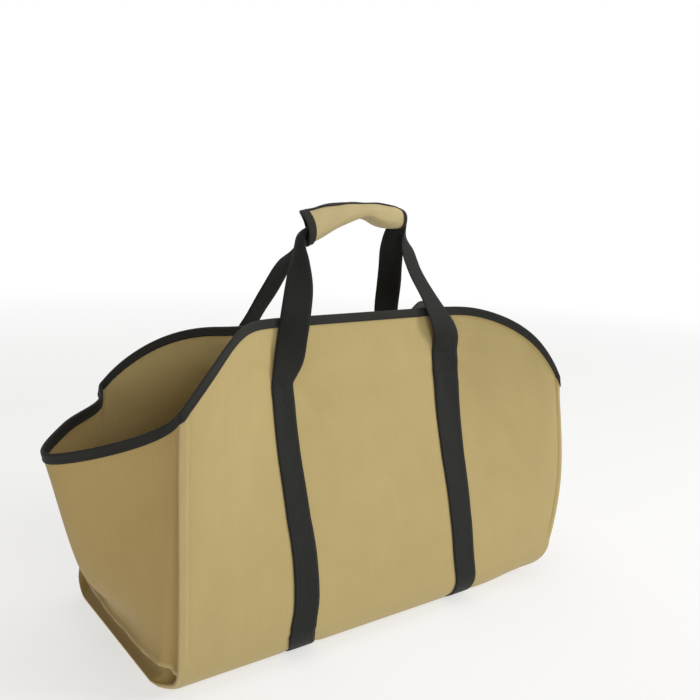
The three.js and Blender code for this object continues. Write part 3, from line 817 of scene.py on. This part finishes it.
def end_cloth(sign, across, step):
    """Point of an end panel: across runs from -1 in front to 1 behind, step from 1 at the base to 3."""
    across, step = np.broadcast_arrays(np.asarray(across, float), np.asarray(step, float))
    front, back = end_edges(sign, step)
    lowest, highest = end_edges(sign, np.array([1.0, 3.0]))[0][:, 2]
    share = np.clip((front[..., 2] - lowest) / (highest - lowest), 0, 1)
    point = front + (back - front) * ((1 + across) / 2)[..., None]
    full = SPOUT_FULL_BACK * smooth((1 - across) / SPOUT_FULL_EASE)
    fuller = np.where((sign < 0) & (across > 0), full * share**2, 0)
    crown = np.maximum(np.cos(np.pi * across / 2), 0) ** (2 - fuller)
    above = np.clip((share - SPOUT_FOOT) / (1 - SPOUT_FOOT), 0, 1)
    swell = by_end(SPOUT_REACH, sign) * above**SPOUT_GROWTH * crown * (1 - bell(above, SPOUT_START))
    swell = swell + seam_relief(point[..., 2], across) + fold_relief(share, across)
    quicker = 1 + (BELLY_QUICKER - 1) * smooth((point[..., 2] - CURL_BASE) / BELLY_QUICKER_RISE)
    y = BELLY_START + (point[..., 1] - BELLY_START) * quicker
    x = sign * (HALF_LENGTH + swell) + end_shift(sign * HALF_LENGTH, y, step)
    dip = SPOUT_DIP * np.maximum(1 - across**2, 0) ** (1 + SPOUT_DIP_POWER * fuller)
    z = point[..., 2] + GAP * (1 - share) - dip * share
    return np.stack([x, point[..., 1], z], axis=-1)


def end_normal(sign, across, step):
    """Outward direction of an end panel, from small steps across and down it."""
    further = end_cloth(sign, np.minimum(across + ACROSS_STEP, 1), step)
    over = further - end_cloth(sign, np.maximum(across - ACROSS_STEP, -1), step)
    higher = end_cloth(sign, across, np.minimum(step + SECTION_STEP, 3))
    normal = unit(np.cross(over, end_cloth(sign, across, step - SECTION_STEP) - higher))
    return np.where(normal[..., :1] * sign < 0, -normal, normal)


def end_panel(name, sign):
    """One end panel on a grid whose faces point outwards, one cloth thick, with painted shade below its seam
    and a painted highlight along it.
    """
    columns = END_COLUMNS if sign > 0 else END_COLUMNS[::-1]
    points = end_cloth(sign, columns[:, None], END_ROWS[None, :])
    piece = grid_piece(name, points, end_canvas)
    front, back = end_edges(sign, END_ROWS)
    level = front[:, 2] + (back - front)[:, 2] * ((1 + columns) / 2)[:, None]
    above = level - seam_height(columns)[:, None]
    # Painted shade on the hollow strip under the low seam.
    mark(piece, "grime", smooth((RECESS_SHADE_TOP - above) / RECESS_SHADE_RUN))
    # Painted highlight along the seam ridge.
    mark(piece, "worn", SEAM_WEAR_HIGHLIGHT * bell(above - SEAM_WEAR_HIGHLIGHT_AT, SEAM_WEAR_HIGHLIGHT_WIDTH))
    return thicken(piece, CLOTH)


end_left = end_panel("end_canvas_left", -1)
end_right = end_panel("end_canvas_right", 1)
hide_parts("end_panel_left")
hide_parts("end_panel_right")

# %% [markdown]
# ## The rim binding
# A folded tape takes in the raw edge all round the mouth. It is a profile carried along a path: the path is
# the rim of the body and the end panels in turn, and the profile is a narrow hairpin that follows the cloth
# down both faces.

# %% Rim binding
TAPE = 1.0
TAPE_GAP = 0.4
TAPE_OUTSIDE = TAPE_GAP + TAPE
TAPE_DEPTH = 9.5
TAPE_LEGS = np.linspace(0, TAPE_DEPTH, 6)
TAPE_LAST_TURN = np.radians(70)
STEEPEST_RIM = 1.3
CREST_TURNS = np.radians(np.linspace(0, 180, 9))


def tape_steps(x, side):
    """Places along the section at the depths of the tape's rows, longer where the rim slopes."""
    rise = rim_height(x + LENGTH_STEP, side) - rim_height(x - LENGTH_STEP, side)
    stretch = np.sqrt(1 + np.minimum(STEEPEST_RIM, np.abs(rise)) ** 2)
    upright = rim_height(x, side) - foot_radius(x, side)
    return 3 - TAPE_LEGS * (stretch / upright)[..., None]


def rim_stations():
    """Cloth points and outward directions at the tape's rows, round the rim: front, right, back, left."""
    distances, turns = panel_columns()
    inner = turns < TAPE_LAST_TURN
    distances = distances[inner]
    walls = [
        bag_cloth(distances[:, None], turns[inner][:, None], side * tape_steps(distances, side))
        for side in (-1, 1)
    ]
    across = END_COLUMNS[:, None]
    ends = []
    for sign in (1, -1):
        steps = tape_steps(np.array([sign * FLAT_END]), -1)
        ends.append((end_cloth(sign, across, steps), end_normal(sign, across, steps)))
    return [
        np.concatenate([walls[0][k], ends[0][k], walls[1][k][::-1], ends[1][k][::-1]])
        for k in (0, 1)
    ]


def hairpin(points, normals):
    """Closed section of the folded tape at every station: outer face, crest, inner face and back again."""
    up = unit(points[:, 0] - points[:, 1])[:, None]
    crest = points[:, :1] - normals[:, :1] * CLOTH / 2

    def leg(offset):
        return points[:, 1:] + normals[:, 1:] * offset

    def arc(radius):
        turns = CREST_TURNS[None, :, None]
        return crest + radius * (normals[:, :1] * np.cos(turns) + up * np.sin(turns))

    outer = [leg(TAPE_OUTSIDE)[:, ::-1], arc(CLOTH / 2 + TAPE_OUTSIDE), leg(-CLOTH - TAPE_OUTSIDE)]
    inner = [leg(-CLOTH - TAPE_GAP)[:, ::-1], arc(CLOTH / 2 + TAPE_GAP)[:, ::-1], leg(TAPE_GAP)]
    return np.concatenate(outer + inner, axis=1)


rim_points, rim_normals = rim_stations()
binding = grid_piece("rim_tape", hairpin(rim_points, rim_normals), tape, True, True)
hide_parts("rim_binding")

# %% [markdown]
# ## The straps
# Each strap is one length of webbing. It lies on the wall from the middle of the base to its sewn end,
# stands free from there, twists, gathers and runs through the grip, and comes down the same way beyond it.
# The sewn stretch is read off the wall, and the free stretch is a smooth curve through a short table of
# places. A sewn row holds the place along the section, x and the width. A free row holds x, y from the
# middle of the mouth with the strap's own side negative, z, the turn in degrees and the width.

# %% Courses of the straps
SEWN_FRONT_LEFT = [
    (1, -130, 37), (1.4, -133, 37), (1.75, -140, 37), (1.96, -142, 37), (2.02, -139, 36.8),
    (2.045, -136.5, 36.5), (2.07, -134.2, 36), (2.1, -132.8, 36), (2.15, -131.8, 35.5), (2.24, -131.4, 35),
    (2.3, -132.2, 34.6), (2.36, -133.6, 34.3), (2.55, -133, 33.5), (2.785, -129.5, 32),
]
SEWN_FRONT_RIGHT = [
    (1, 130, 37), (2, 127.5, 37), (2.1, 124.5, 37.5), (2.25, 123.5, 38.5), (2.45, 125.5, 40.5),
    (2.6, 130, 41.5), (2.72, 134, 42), (2.84, 136, 42),
]
SEWN_BACK_LEFT = [(1, -130, 37), (2.81, -130, 37)]
SEWN_BACK_RIGHT = [(1, 130, 37), (2.81, 130, 37)]
LEG_FRONT_LEFT = [
    (-123, -63.5, 352, -13, 37), (-119, -64, 381, -32, 37), (-113.5, -61.5, 407, -36, 37),
    (-98.5, -44, 440, -47, 36), (-87, -24.5, 468, -69, 30), (-79, -10, 486, -84, 23),
    (-70, -1, 504.5, -89, 18),
]
LEG_FRONT_RIGHT = [
    (97, -0.5, 522.5, -91, 19), (98, -4, 511, -112, 25), (97.5, -13, 487, -157, 30),
    (103, -26, 455, -165, 31), (114, -46, 420, -168, 34), (125.5, -58, 391, -177, 38),
    (134.5, -61.5, 369, -186, 41),
]
LEG_BACK_LEFT = [
    (-127.5, -63.5, 340, -5, 37), (-117, -62, 363, -14, 37), (-105, -59, 389, -22, 37),
    (-88, -41, 432, -14, 35), (-76.5, -19, 473, -18, 27), (-71.5, -6, 489, -62, 20),
    (-66, -0.5, 501, -90, 18),
]
LEG_BACK_RIGHT = [
    (92, -0.5, 519, -84, 21), (91, -6, 508, -124, 28), (95, -18, 484, -137, 33),
    (106.5, -34, 456, -146, 34), (117, -48.5, 428, -151, 36), (122.5, -59, 392, -160, 37),
    (126, -62, 365, -169, 37), (129, -64, 342, -177, 37),
]
INSIDE_GRIP = [(-50, 513.5), (-30, 521.5), (0, 531), (24, 534.5), (52, 531), (70, 527.5), (84, 524.5)]
GRIP_STRAP_WIDTH = 18
GRIP_STRAP_OFFSET = 2


def smooth_path(rows, share):
    """Points of a smooth curve through table rows.

    Each span is a cubic between its ends, with slopes that weigh the nearer neighbour more.
    """
    spans = len(rows) - 1
    place = share * spans
    span = np.clip(place.astype(int), 0, spans - 1)
    t = (place - span)[:, None]
    padded = np.concatenate([2 * rows[:1] - rows[1:2], rows, 2 * rows[-1:] - rows[-2:-1]])
    p0, p1, p2, p3 = (padded[span + k] for k in range(4))

    def apart(first, second):
        return np.sqrt(np.linalg.norm((second - first)[:, :3], axis=1))[:, None]

    d0, d1, d2 = apart(p0, p1), apart(p1, p2), apart(p2, p3)
    slope1 = ((p1 - p0) / d0 - (p2 - p0) / (d0 + d1) + (p2 - p1) / d1) * d1
    slope2 = ((p2 - p1) / d1 - (p3 - p1) / (d1 + d2) + (p3 - p2) / d2) * d1
    ease = 2 * t**3 - 3 * t**2
    return (1 + ease) * p1 - ease * p2 + (t**3 - 2 * t**2 + t) * slope1 + (t**3 - t**2) * slope2


print("free rows of the front legs:", len(LEG_FRONT_LEFT), len(LEG_FRONT_RIGHT))

# %% Straps
SHARES = np.linspace(-0.5, 0.5, 11)
EDGE_ROUND = 0.45
EDGE_POWER = 8
EDGE_THIN = (EDGE_ROUND * np.abs(2 * SHARES) ** EDGE_POWER)[None, :, None]
OFF_MIDDLE = 1e-4
CUP = 2.6
CUP_LEVEL = 0.33
FREE_STEPS = 150
SQUARE_STEPS = 14


def sewn_faces(lay, side):
    """Outer and inner rows of webbing laid on the wall, from the middle of the base up to the sewn end."""
    places, middles, widths = np.array(lay, float).T
    steps = chain((0, 1, 14), (1, 2, 16), (2, places[-1], 90))
    middle = np.interp(steps, places, middles)[:, None]
    across = middle + SHARES[None, :] * np.interp(steps, places, widths)[:, None]
    points, normals = bag_cloth(across, np.zeros((1, 1)), side * np.maximum(steps, OFF_MIDDLE)[:, None])
    points[0, :, 1] += side * GAP / 2
    return points + normals * (GAP + WEBBING - EDGE_THIN), points + normals * (GAP + EDGE_THIN)


def seam_row(row, side):
    """Table row of a sewn end: middle, turn from -270 to 90 and width of the line between its edges."""
    chord = row[-1] - row[0]
    x, y, z = (row[0] + row[-1]) / 2
    turn = (np.degrees(np.arctan2(chord[1], chord[0])) * -side + 270) % 360 - 270
    return x, (y - MOUTH_SHIFT) * -side, z, turn, np.linalg.norm(chord)


def free_faces(left, right, left_leg, right_leg, side):
    """Outer and inner rows of the free webbing between two sewn ends, turned by the table and cupped."""
    grip = [(x, 0, z - side * GRIP_STRAP_OFFSET, -90, GRIP_STRAP_WIDTH) for x, z in INSIDE_GRIP]
    rows = np.array([seam_row(left, side), *left_leg, *grip, *right_leg, seam_row(right, side)], float)
    rows[:, 1] = MOUTH_SHIFT - side * rows[:, 1]
    rows[:, 3] *= -side
    path = smooth_path(rows, np.linspace(0, 1, FREE_STEPS + 2))
    forward = unit(np.gradient(path[:, :3], axis=0))[1:-1]
    path = path[1:-1]
    turn = np.radians(path[:, 3])
    across = np.stack([np.cos(turn), np.sin(turn), np.zeros_like(turn)], axis=-1)
    ends = np.minimum(np.arange(FREE_STEPS), np.arange(FREE_STEPS)[::-1])[:, None]
    across = unit(across - forward * (across * forward).sum(-1, keepdims=True) * smooth(ends / SQUARE_STEPS))
    inward = (unit(np.cross(forward, across)) * -side)[:, None]
    width = path[:, 4][:, None, None]
    flat = path[:, None, :3] + across[:, None] * SHARES[None, :, None] * width
    cup = CUP * smooth((STRAP_WIDTH - width) / (STRAP_WIDTH - GRIP_STRAP_WIDTH))
    flat = flat + inward * cup * ((2 * SHARES) ** 2 - CUP_LEVEL)[None, :, None]
    half = WEBBING / 2 - EDGE_THIN
    return flat - inward * half, flat + inward * half


def strap_faces(side, left_lay, right_lay, left_leg, right_leg):
    """Outer and inner rows of a whole strap, from the base up the left leg and down the right leg."""
    left = sewn_faces(left_lay, side)
    right = [face[::-1, ::-1] for face in sewn_faces(right_lay, side)]
    left_end = (left[0][-1] + left[1][-1]) / 2
    right_end = (right[0][0] + right[1][0]) / 2
    free = free_faces(left_end, right_end, left_leg, right_leg, side)
    return [np.concatenate([left[k], free[k], right[k]]) for k in (0, 1)]


def strap(name, side, *tables):
    """A strap as a closed band: the outer rows, then the inner rows back."""
    outer, inner = strap_faces(side, *tables)
    ring = np.concatenate([outer, inner[:, ::-1]], axis=1)
    return grid_piece(name, ring[:, ::-side], webbing, close_columns=True)


front_tables = (SEWN_FRONT_LEFT, SEWN_FRONT_RIGHT, LEG_FRONT_LEFT, LEG_FRONT_RIGHT)
back_tables = (SEWN_BACK_LEFT, SEWN_BACK_RIGHT, LEG_BACK_LEFT, LEG_BACK_RIGHT)
strap_front = strap("front_strap_webbing", -1, *front_tables)
strap_back = strap("back_strap_webbing", 1, *back_tables)
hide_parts("strap_front")
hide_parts("strap_back")

# %% [markdown]
# ## The grip
# A short piece of canvas is wrapped round both straps where the hand holds them. It is open at both ends,
# deep on the left, pinched thin past its middle and full again on the right. Its section is a rounded
# oblong, a circle with a higher power, carried along a short table. A row there holds x, the height of the
# middle, half the height and half the width.

# %% Rings of the grip
GRIP_SECTIONS = np.array([
    (-65, 511, 22, 18), (-53, 515, 20.5, 18.5), (-34, 522, 18.5, 19), (-10, 529.5, 14.5, 20),
    (10, 533.5, 11, 20.5), (24, 535, 10, 20.5), (38, 533, 12, 20.5), (56, 529, 15.5, 19.5),
    (74, 527, 15.5, 18.5), (89, 525, 13, 18),
])
GRIP_LEFT = GRIP_SECTIONS[0, 0]
GRIP_RIGHT = GRIP_SECTIONS[-1, 0]
GRIP_POWER = 2.4
GRIP_TURNS = np.linspace(0, 2 * np.pi, 73)
GRIP_CREASE = 0.7
CREASE_COUNTS = (5, 2)
CREASE_LENGTHS = (9, 23)
CREASE_LEFT = -56
CREASE_RIGHT = 80
CREASE_RUN = 12
GRIP_SLANT_UP = -0.24
GRIP_SLANT_BACK = 0.5
GRIP_HOLLOW = 7
SLANT_START = -15
SLANT_RUN = 50


def grip_sections(x):
    """Height of the middle, half height and half width at each x, on a smooth curve through the table."""
    fine = smooth_path(GRIP_SECTIONS, np.linspace(0, 1, 400))
    return [np.interp(x, fine[:, 0], fine[:, k])[:, None] for k in (1, 2, 3)]


def grip_rings(x, grow, shift=0.0, turns=GRIP_TURNS[:-1]):
    """Rings of the grip at each x, grown by an amount: a circle's sine and cosine to 2 over the power.

    Towards the left end the rings slant, the top and the front further left, and hollow at mid height.
    """
    x = np.atleast_1d(np.asarray(x, float))
    z, half_height, half_width = grip_sections(x)
    x = x[:, None]

    def rounded(value):
        return np.sign(value) * np.abs(value) ** (2 / GRIP_POWER)

    creases = np.sin(CREASE_COUNTS[0] * turns + x / CREASE_LENGTHS[0])
    creases = creases * np.sin(CREASE_COUNTS[1] * turns - x / CREASE_LENGTHS[1])
    creases = creases * smooth((x - CREASE_LEFT) / CREASE_RUN) * smooth((CREASE_RIGHT - x) / CREASE_RUN)
    grown = grow + GRIP_CREASE * creases
    y = MOUTH_SHIFT + (half_width + grown) * rounded(np.cos(turns))
    up = z + (half_height + grown) * rounded(np.sin(turns))
    hollow = GRIP_HOLLOW * (1 - ((up - z) / (half_height + grow)) ** 2)
    slant = GRIP_SLANT_UP * (up - z) + GRIP_SLANT_BACK * (y - MOUTH_SHIFT) + hollow
    along = x + shift + slant * smooth((SLANT_START - x) / SLANT_RUN)
    return np.stack([along, y, up], axis=-1)


print("half sizes of the grip at x 24:", [round(float(size[0, 0]), 1) for size in grip_sections([24])[1:]])

# %% Grip and its tapes
GRIP_CLOTH = 2
GRIP_TAPE = 1
GRIP_FACE = GAP + GRIP_TAPE
GRIP_TAPE_DEPTH = {"left": 9, "right": 4}
CUFF_LEFT = GRIP_LEFT + GRIP_TAPE_DEPTH["left"]
CUFF_RIGHT = GRIP_RIGHT - GRIP_TAPE_DEPTH["right"]
EDGE_TAPE_TURNS = np.radians(np.linspace(67.5, 112.5, 9))


def grip_wrap():
    """The wrap: outer rings from left to right, then inner rings back, closed both ways."""
    x = np.linspace(GRIP_LEFT, GRIP_RIGHT, 70)
    rings = np.concatenate([grip_rings(x, 0.0), grip_rings(x[::-1], -GRIP_CLOTH)])
    return grid_piece("grip_canvas", rings[:, ::-1], grip_canvas, True, True)


def grip_end_tape(name, end, deepest):
    """Tape folded over one end of the wrap: a hairpin of rings from outside over the edge to the inside."""
    inward = np.sign(deepest - end)
    deep = np.linspace(deepest, end, 6)
    inside = -GRIP_CLOTH - GRIP_FACE
    middle = -GRIP_CLOTH / 2

    def crest(radius, order):
        return [grip_rings(end, middle + radius * np.cos(t), -inward * radius * np.sin(t)) for t in order]

    over = crest(GRIP_FACE - middle, CREST_TURNS[1:-1])
    under = crest(GAP - middle, CREST_TURNS[-2:0:-1])
    rings = [grip_rings(deep, GRIP_FACE), *over, grip_rings(deep[::-1], inside)]
    rings += [grip_rings(deep, inside + GRIP_TAPE), *under, grip_rings(deep[::-1], GAP)]
    loop = np.concatenate(rings)
    return grid_piece(name, loop[:, ::-1] if inward < 0 else loop, tape, True, True)


def grip_edge_tape():
    """Tape on the wrap's free edge: a strip of the ring on top, between the two end tapes."""
    x = np.linspace(CUFF_LEFT + GAP, CUFF_RIGHT - GAP, 60)
    outer = grip_rings(x, GRIP_FACE, turns=EDGE_TAPE_TURNS)
    inner = grip_rings(x, GAP, turns=EDGE_TAPE_TURNS)
    ring = np.concatenate([outer, inner[:, ::-1]], axis=1)
    return grid_piece("grip_edge_strip", ring[:, ::-1], tape, close_columns=True)


wrap = grip_wrap()
cuff_left = grip_end_tape("grip_cuff_left", GRIP_LEFT, CUFF_LEFT)
cuff_right = grip_end_tape("grip_cuff_right", GRIP_RIGHT, CUFF_RIGHT)
edge_strip = grip_edge_tape()
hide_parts("grip_wrap")
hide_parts("grip_end_tape_left")
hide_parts("grip_end_tape_right")
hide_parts("grip_edge_tape")

# %% [markdown]
# ## Stitches
# Every join shows a line of thread: along the tape on both faces, along both edges of each strap with a
# crossed box at its sewn end, down the folded corners and round the tapes of the grip. A stitch is a short
# tube that rises from the cloth and dips back into it. One array holds all the stitches of a line, so no
# stitch is placed by hand.

# %% A line of stitches
STITCH_PITCH = 3.4
STITCH_LENGTH = 2.5
STITCH_RADIUS = 0.42
STITCH_RINGS = 5
STITCH_SIDES = 6
STITCH_ARCH = 0.9
STITCH_SINK = 0.3
STITCH_TAPER = 0.85
FIRST_CAP = np.array([(3, 2, 1, 0), (5, 4, 3, 0)])
LAST_CAP = np.array([(0, 1, 2, 3), (0, 3, 4, 5)])


def stitch_line(path, outward):
    """Tubes along a path at an even pitch: rings of six points, thin at both ends, raised by a cosine."""
    run = np.concatenate([[0], np.cumsum(np.linalg.norm(np.diff(path, axis=0), axis=1))])
    count = max(int(run[-1] / STITCH_PITCH), 1)
    span = np.linspace(-0.5, 0.5, STITCH_RINGS)
    place = (np.arange(count)[:, None] + 0.5) * run[-1] / count + span * STITCH_LENGTH

    def read(rows):
        return np.stack([np.interp(place, run, rows[:, k]) for k in range(3)], axis=-1)

    middle = read(path)
    up = unit(read(outward))
    side = np.cross(unit(middle[:, -1:] - middle[:, :1]), up)
    rise = STITCH_RADIUS * (STITCH_ARCH * np.cos(np.pi * span) - STITCH_SINK)[:, None, None]
    thick = STITCH_RADIUS * np.sqrt(1 - STITCH_TAPER * (2 * span) ** 2)[:, None, None]
    turn = np.linspace(0, 2 * np.pi, STITCH_SIDES, endpoint=False)[:, None]
    ring = up[:, :, None] * (rise + thick * np.cos(turn)) + side[:, :, None] * thick * np.sin(turn)
    return middle[:, :, None] + ring


def stitch_piece(name, lines, material):
    """All the stitches of several lines as one piece, each tube closed at both ends."""
    tubes = np.concatenate([stitch_line(path, outward) for path, outward in lines])
    quads, uv_quads = grid_quads(STITCH_RINGS, STITCH_SIDES, False, True)
    last = STITCH_RINGS - 1
    quads = np.concatenate([quads, FIRST_CAP, LAST_CAP + last * STITCH_SIDES])
    uv_quads = np.concatenate([uv_quads, FIRST_CAP, LAST_CAP + last * (STITCH_SIDES + 1)])
    places = np.linspace(0, STITCH_LENGTH, STITCH_RINGS)
    along, around = np.meshgrid(places, np.arange(STITCH_SIDES + 1), indexing="ij")
    uv = np.stack([along, around * STITCH_RADIUS], axis=-1).reshape(-1, 2)
    number = np.arange(len(tubes))[:, None, None]
    all_quads = (quads[None] + number * STITCH_RINGS * STITCH_SIDES).reshape(-1, 4)
    all_uv_quads = np.broadcast_to(uv_quads[None], (len(tubes), *uv_quads.shape)).reshape(-1, 4)
    print(f"{name}: {len(tubes)} stitches")
    return add_piece(name, tubes, all_quads, uv, all_uv_quads, material)


print("stitches in 100 mm:", len(stitch_line(np.array([[0, 0, 0], [100, 0, 0]]), np.eye(3)[[2, 2]])))

# %% Stitches on the rim, the folds and the grip
RIM_STITCH_ROW = 4
FOLD_STEPS = np.linspace(2.05, 2.95, 120)
CUFF_STITCH_INSET = {"left": 1.8, "right": 1.6}
EDGE_STITCH_INSET = 2
EDGE_STITCH_TURNS = np.radians([72, 108])


def rim_lines():
    """Two loops of stitches near the tape's lower edge, outside and inside."""
    rows = np.arange(len(rim_points) + 1) % len(rim_points)
    cloth = rim_points[rows, RIM_STITCH_ROW]
    out = rim_normals[rows, RIM_STITCH_ROW]
    return [(cloth + out * TAPE_OUTSIDE, out), (cloth - out * (CLOTH + TAPE_OUTSIDE), -out)]


def fold_lines():
    """One line down the groove beside each folded corner."""
    distance = SCALED_FROM + (HALF_LENGTH - STITCH_PLACE - SCALED_FROM) / end_scale(CURL_WALL)
    return [
        bag_cloth(np.array(sign * distance), np.array(0.0), side * FOLD_STEPS)
        for sign in (-1, 1) for side in (-1, 1)
    ]


def grip_lines():
    """A ring of stitches in each end tape of the grip, and two lines along the tape on its edge."""

    def line(x, turns):
        path = grip_rings(x, GRIP_FACE, turns=turns).reshape(-1, 3)
        return path, grip_rings(x, GRIP_FACE + 1, turns=turns).reshape(-1, 3) - path

    rings = (CUFF_LEFT - CUFF_STITCH_INSET["left"], CUFF_RIGHT + CUFF_STITCH_INSET["right"])
    x = np.linspace(CUFF_LEFT + EDGE_STITCH_INSET, CUFF_RIGHT - EDGE_STITCH_INSET, 80)
    edges = [line(x, turn) for turn in EDGE_STITCH_TURNS[:, None]]
    return [line(ring, GRIP_TURNS) for ring in rings] + edges


stitch_piece("rim_stitches", rim_lines(), black_thread)
stitch_piece("fold_stitches", fold_lines(), khaki_thread)
stitch_piece("grip_stitches", grip_lines(), black_thread)

# %% Stitches on the straps
BOX_LENGTH = 36
STITCHED_FROM = 20


def leg_lines(lay, side):
    """Lines along both edges of a sewn leg, and a box with a cross in it at the sewn end."""
    outer, inner = sewn_faces(lay, side)
    out = unit(outer - inner)
    run = lengths_along(outer, 0)[:, len(SHARES) // 2]
    top = len(outer) - 2
    low = int(np.searchsorted(run, run[-1] - BOX_LENGTH))
    inside = np.arange(1, len(SHARES) - 1)
    slanted = np.linspace(low, top, len(inside)).round().astype(int)
    edges = [(outer[STITCHED_FROM:, j], out[STITCHED_FROM:, j]) for j in (1, len(SHARES) - 2)]
    bars = [(outer[i, inside], out[i, inside]) for i in (low, top, slanted, slanted[::-1])]
    return edges + bars


front_lines = leg_lines(SEWN_FRONT_LEFT, -1) + leg_lines(SEWN_FRONT_RIGHT, -1)
back_lines = leg_lines(SEWN_BACK_LEFT, 1) + leg_lines(SEWN_BACK_RIGHT, 1)
stitch_piece("front_strap_stitches", front_lines, black_thread)
stitch_piece("back_strap_stitches", back_lines, black_thread)

# %% [markdown]
# ## Floor and light
# A pale floor and soft light keep the eye on the cloth. A broad lamp to the front right draws the form, one
# in front fills it, a large one overhead opens the top, weak ones at the left and behind reach the far
# sides, and a weak sky fills the shadows. The floor glows, as a light table does, and far out it turns into
# plain white light, so no horizon cuts the picture.

# %% Floor
FLOOR_RADIUS = 9.0
FLOOR_RINGS = 40
FLOOR_SIDES = 64
FLOOR_FIRST_RING = 0.02
FLOOR_GROWTH = 1.5
FLOOR_LEVEL = -0.0004
FLOOR_COLOUR = (0.93, 0.93, 0.93, 1)
FLOOR_GLOW = 0.6
FLOOR_FADE_START = 1.2
FLOOR_FADE_SLOPE = 0.45


def floor_finish():
    """A pale matt floor lit from below, as a light table, that turns into plain white light far out."""
    material, desk = new_finish("pale_floor")
    place = desk.add("ShaderNodeTexCoord", {}, {}, "Object")
    far = desk.add("ShaderNodeVectorMath", {"operation": "LENGTH"}, {0: place}, "Value")
    fade = ((far - FLOOR_FADE_START) * FLOOR_FADE_SLOPE).clamped()
    grain = desk.add("ShaderNodeTexNoise", {}, {"Vector": place, "Scale": 3.0, "Detail": 3.0})
    matt = desk.add("ShaderNodeBsdfPrincipled", {}, {
        "Base Color": FLOOR_COLOUR, "Roughness": 0.8 + 0.1 * grain, "Specular IOR Level": 0.1,
    })
    glow = desk.add("ShaderNodeEmission", {}, {"Color": (1, 1, 1, 1), "Strength": 1.0})
    share = FLOOR_GLOW + (1 - FLOOR_GLOW) * fade
    shader = desk.add("ShaderNodeMixShader", {}, {0: share, 1: matt, 2: glow})
    desk.add("ShaderNodeOutputMaterial", {}, {"Surface": shader})
    return material


def make_floor():
    """A round floor: rings of growing radius times a turn, just under the base, with a fan in the middle."""
    radius = np.linspace(FLOOR_FIRST_RING, 1, FLOOR_RINGS)[:, None] ** FLOOR_GROWTH * FLOOR_RADIUS
    turn = np.linspace(0, 2 * np.pi, FLOOR_SIDES, endpoint=False)[None, :]
    level = np.full((FLOOR_RINGS, FLOOR_SIDES), FLOOR_LEVEL)
    points = np.stack([radius * np.cos(turn), radius * np.sin(turn), level], axis=-1).reshape(-1, 3)
    quads, _ = grid_quads(FLOOR_RINGS, FLOOR_SIDES, False, True)
    j = np.arange(FLOOR_SIDES)
    fan = np.stack([np.full(FLOOR_SIDES, len(points)), j, (j + 1) % FLOOR_SIDES], axis=-1)
    points = np.concatenate([points, [[0, 0, FLOOR_LEVEL]]])
    mesh = bpy.data.meshes.new("floor")
    mesh.from_pydata(points.tolist(), [], quads.tolist() + fan.tolist())
    mesh.materials.append(floor_finish())
    floor = in_scene("floor", mesh)


make_floor()
print("floor radius", FLOOR_RADIUS, "m")

# %% Light
SKY_LIGHT = 0.2
SKY_COLOUR = (1, 0.945, 0.85, 1)
SKY_SEEN = 1.0
LAMP_AIM = (0, 0, 0.2)
STEEP = 0.95
STEEP_GUIDE = (0.02, 1.0, 0.05)
LEVEL_GUIDE = (0, 0, 1)
LAMPS = [
    {"name": "key", "place": (2.6, -2.1, 1.9), "size": 1.2, "power": 64},
    {"name": "front", "place": (-0.7, -3.0, 1.7), "size": 1.5, "power": 26},
    {"name": "left", "place": (-2.6, -1.1, 0.5), "size": 1.6, "power": 3, "colour": (1, 0.7, 0.45)},
    {"name": "back", "place": (0.6, 3.0, 2.0), "size": 1.8, "power": 14},
    {"name": "overhead", "place": (0.3, 0.1, 2.6), "size": 2.6, "power": 30},
]


def make_sky():
    """Sky: a weak warm light for what it lights, and full white where it is looked at."""
    world = bpy.data.worlds.new("studio")
    bpy.context.scene.world = world
    world.use_nodes = True
    world.node_tree.nodes.clear()
    desk = Wire(world.node_tree)
    seen = desk.add("ShaderNodeLightPath", {}, {}, "Is Camera Ray")
    strength = SKY_LIGHT + (SKY_SEEN - SKY_LIGHT) * seen
    colour = mixed_colour(desk, seen, SKY_COLOUR, (1, 1, 1, 1))
    light = desk.add("ShaderNodeBackground", {}, {"Color": colour, "Strength": strength})
    desk.add("ShaderNodeOutputWorld", {}, {"Surface": light})


def make_lamp(name, place, size, power, colour=(1, 1, 1)):
    """A square soft lamp aimed at the middle of the carrier."""
    data = bpy.data.lights.new(name, "AREA")
    data.size = size
    data.energy = power
    data.color = colour
    back = unit(np.array(place) - LAMP_AIM)
    right = unit(np.cross(STEEP_GUIDE if abs(back[2]) > STEEP else LEVEL_GUIDE, back))
    axes = np.column_stack([right, np.cross(back, right), back])
    in_scene(name, data).matrix_world = Matrix.Translation(place) @ Matrix(axes.tolist()).to_4x4()


make_sky()
for lamp in LAMPS:
    make_lamp(**lamp)
bpy.context.scene.view_settings.view_transform = "Standard"
print("lamps:", ", ".join(lamp["name"] for lamp in LAMPS))

# %% [markdown]
# ## Cut cloth
# The three canvas panels and the wrap are sheets cut from flat cloth.
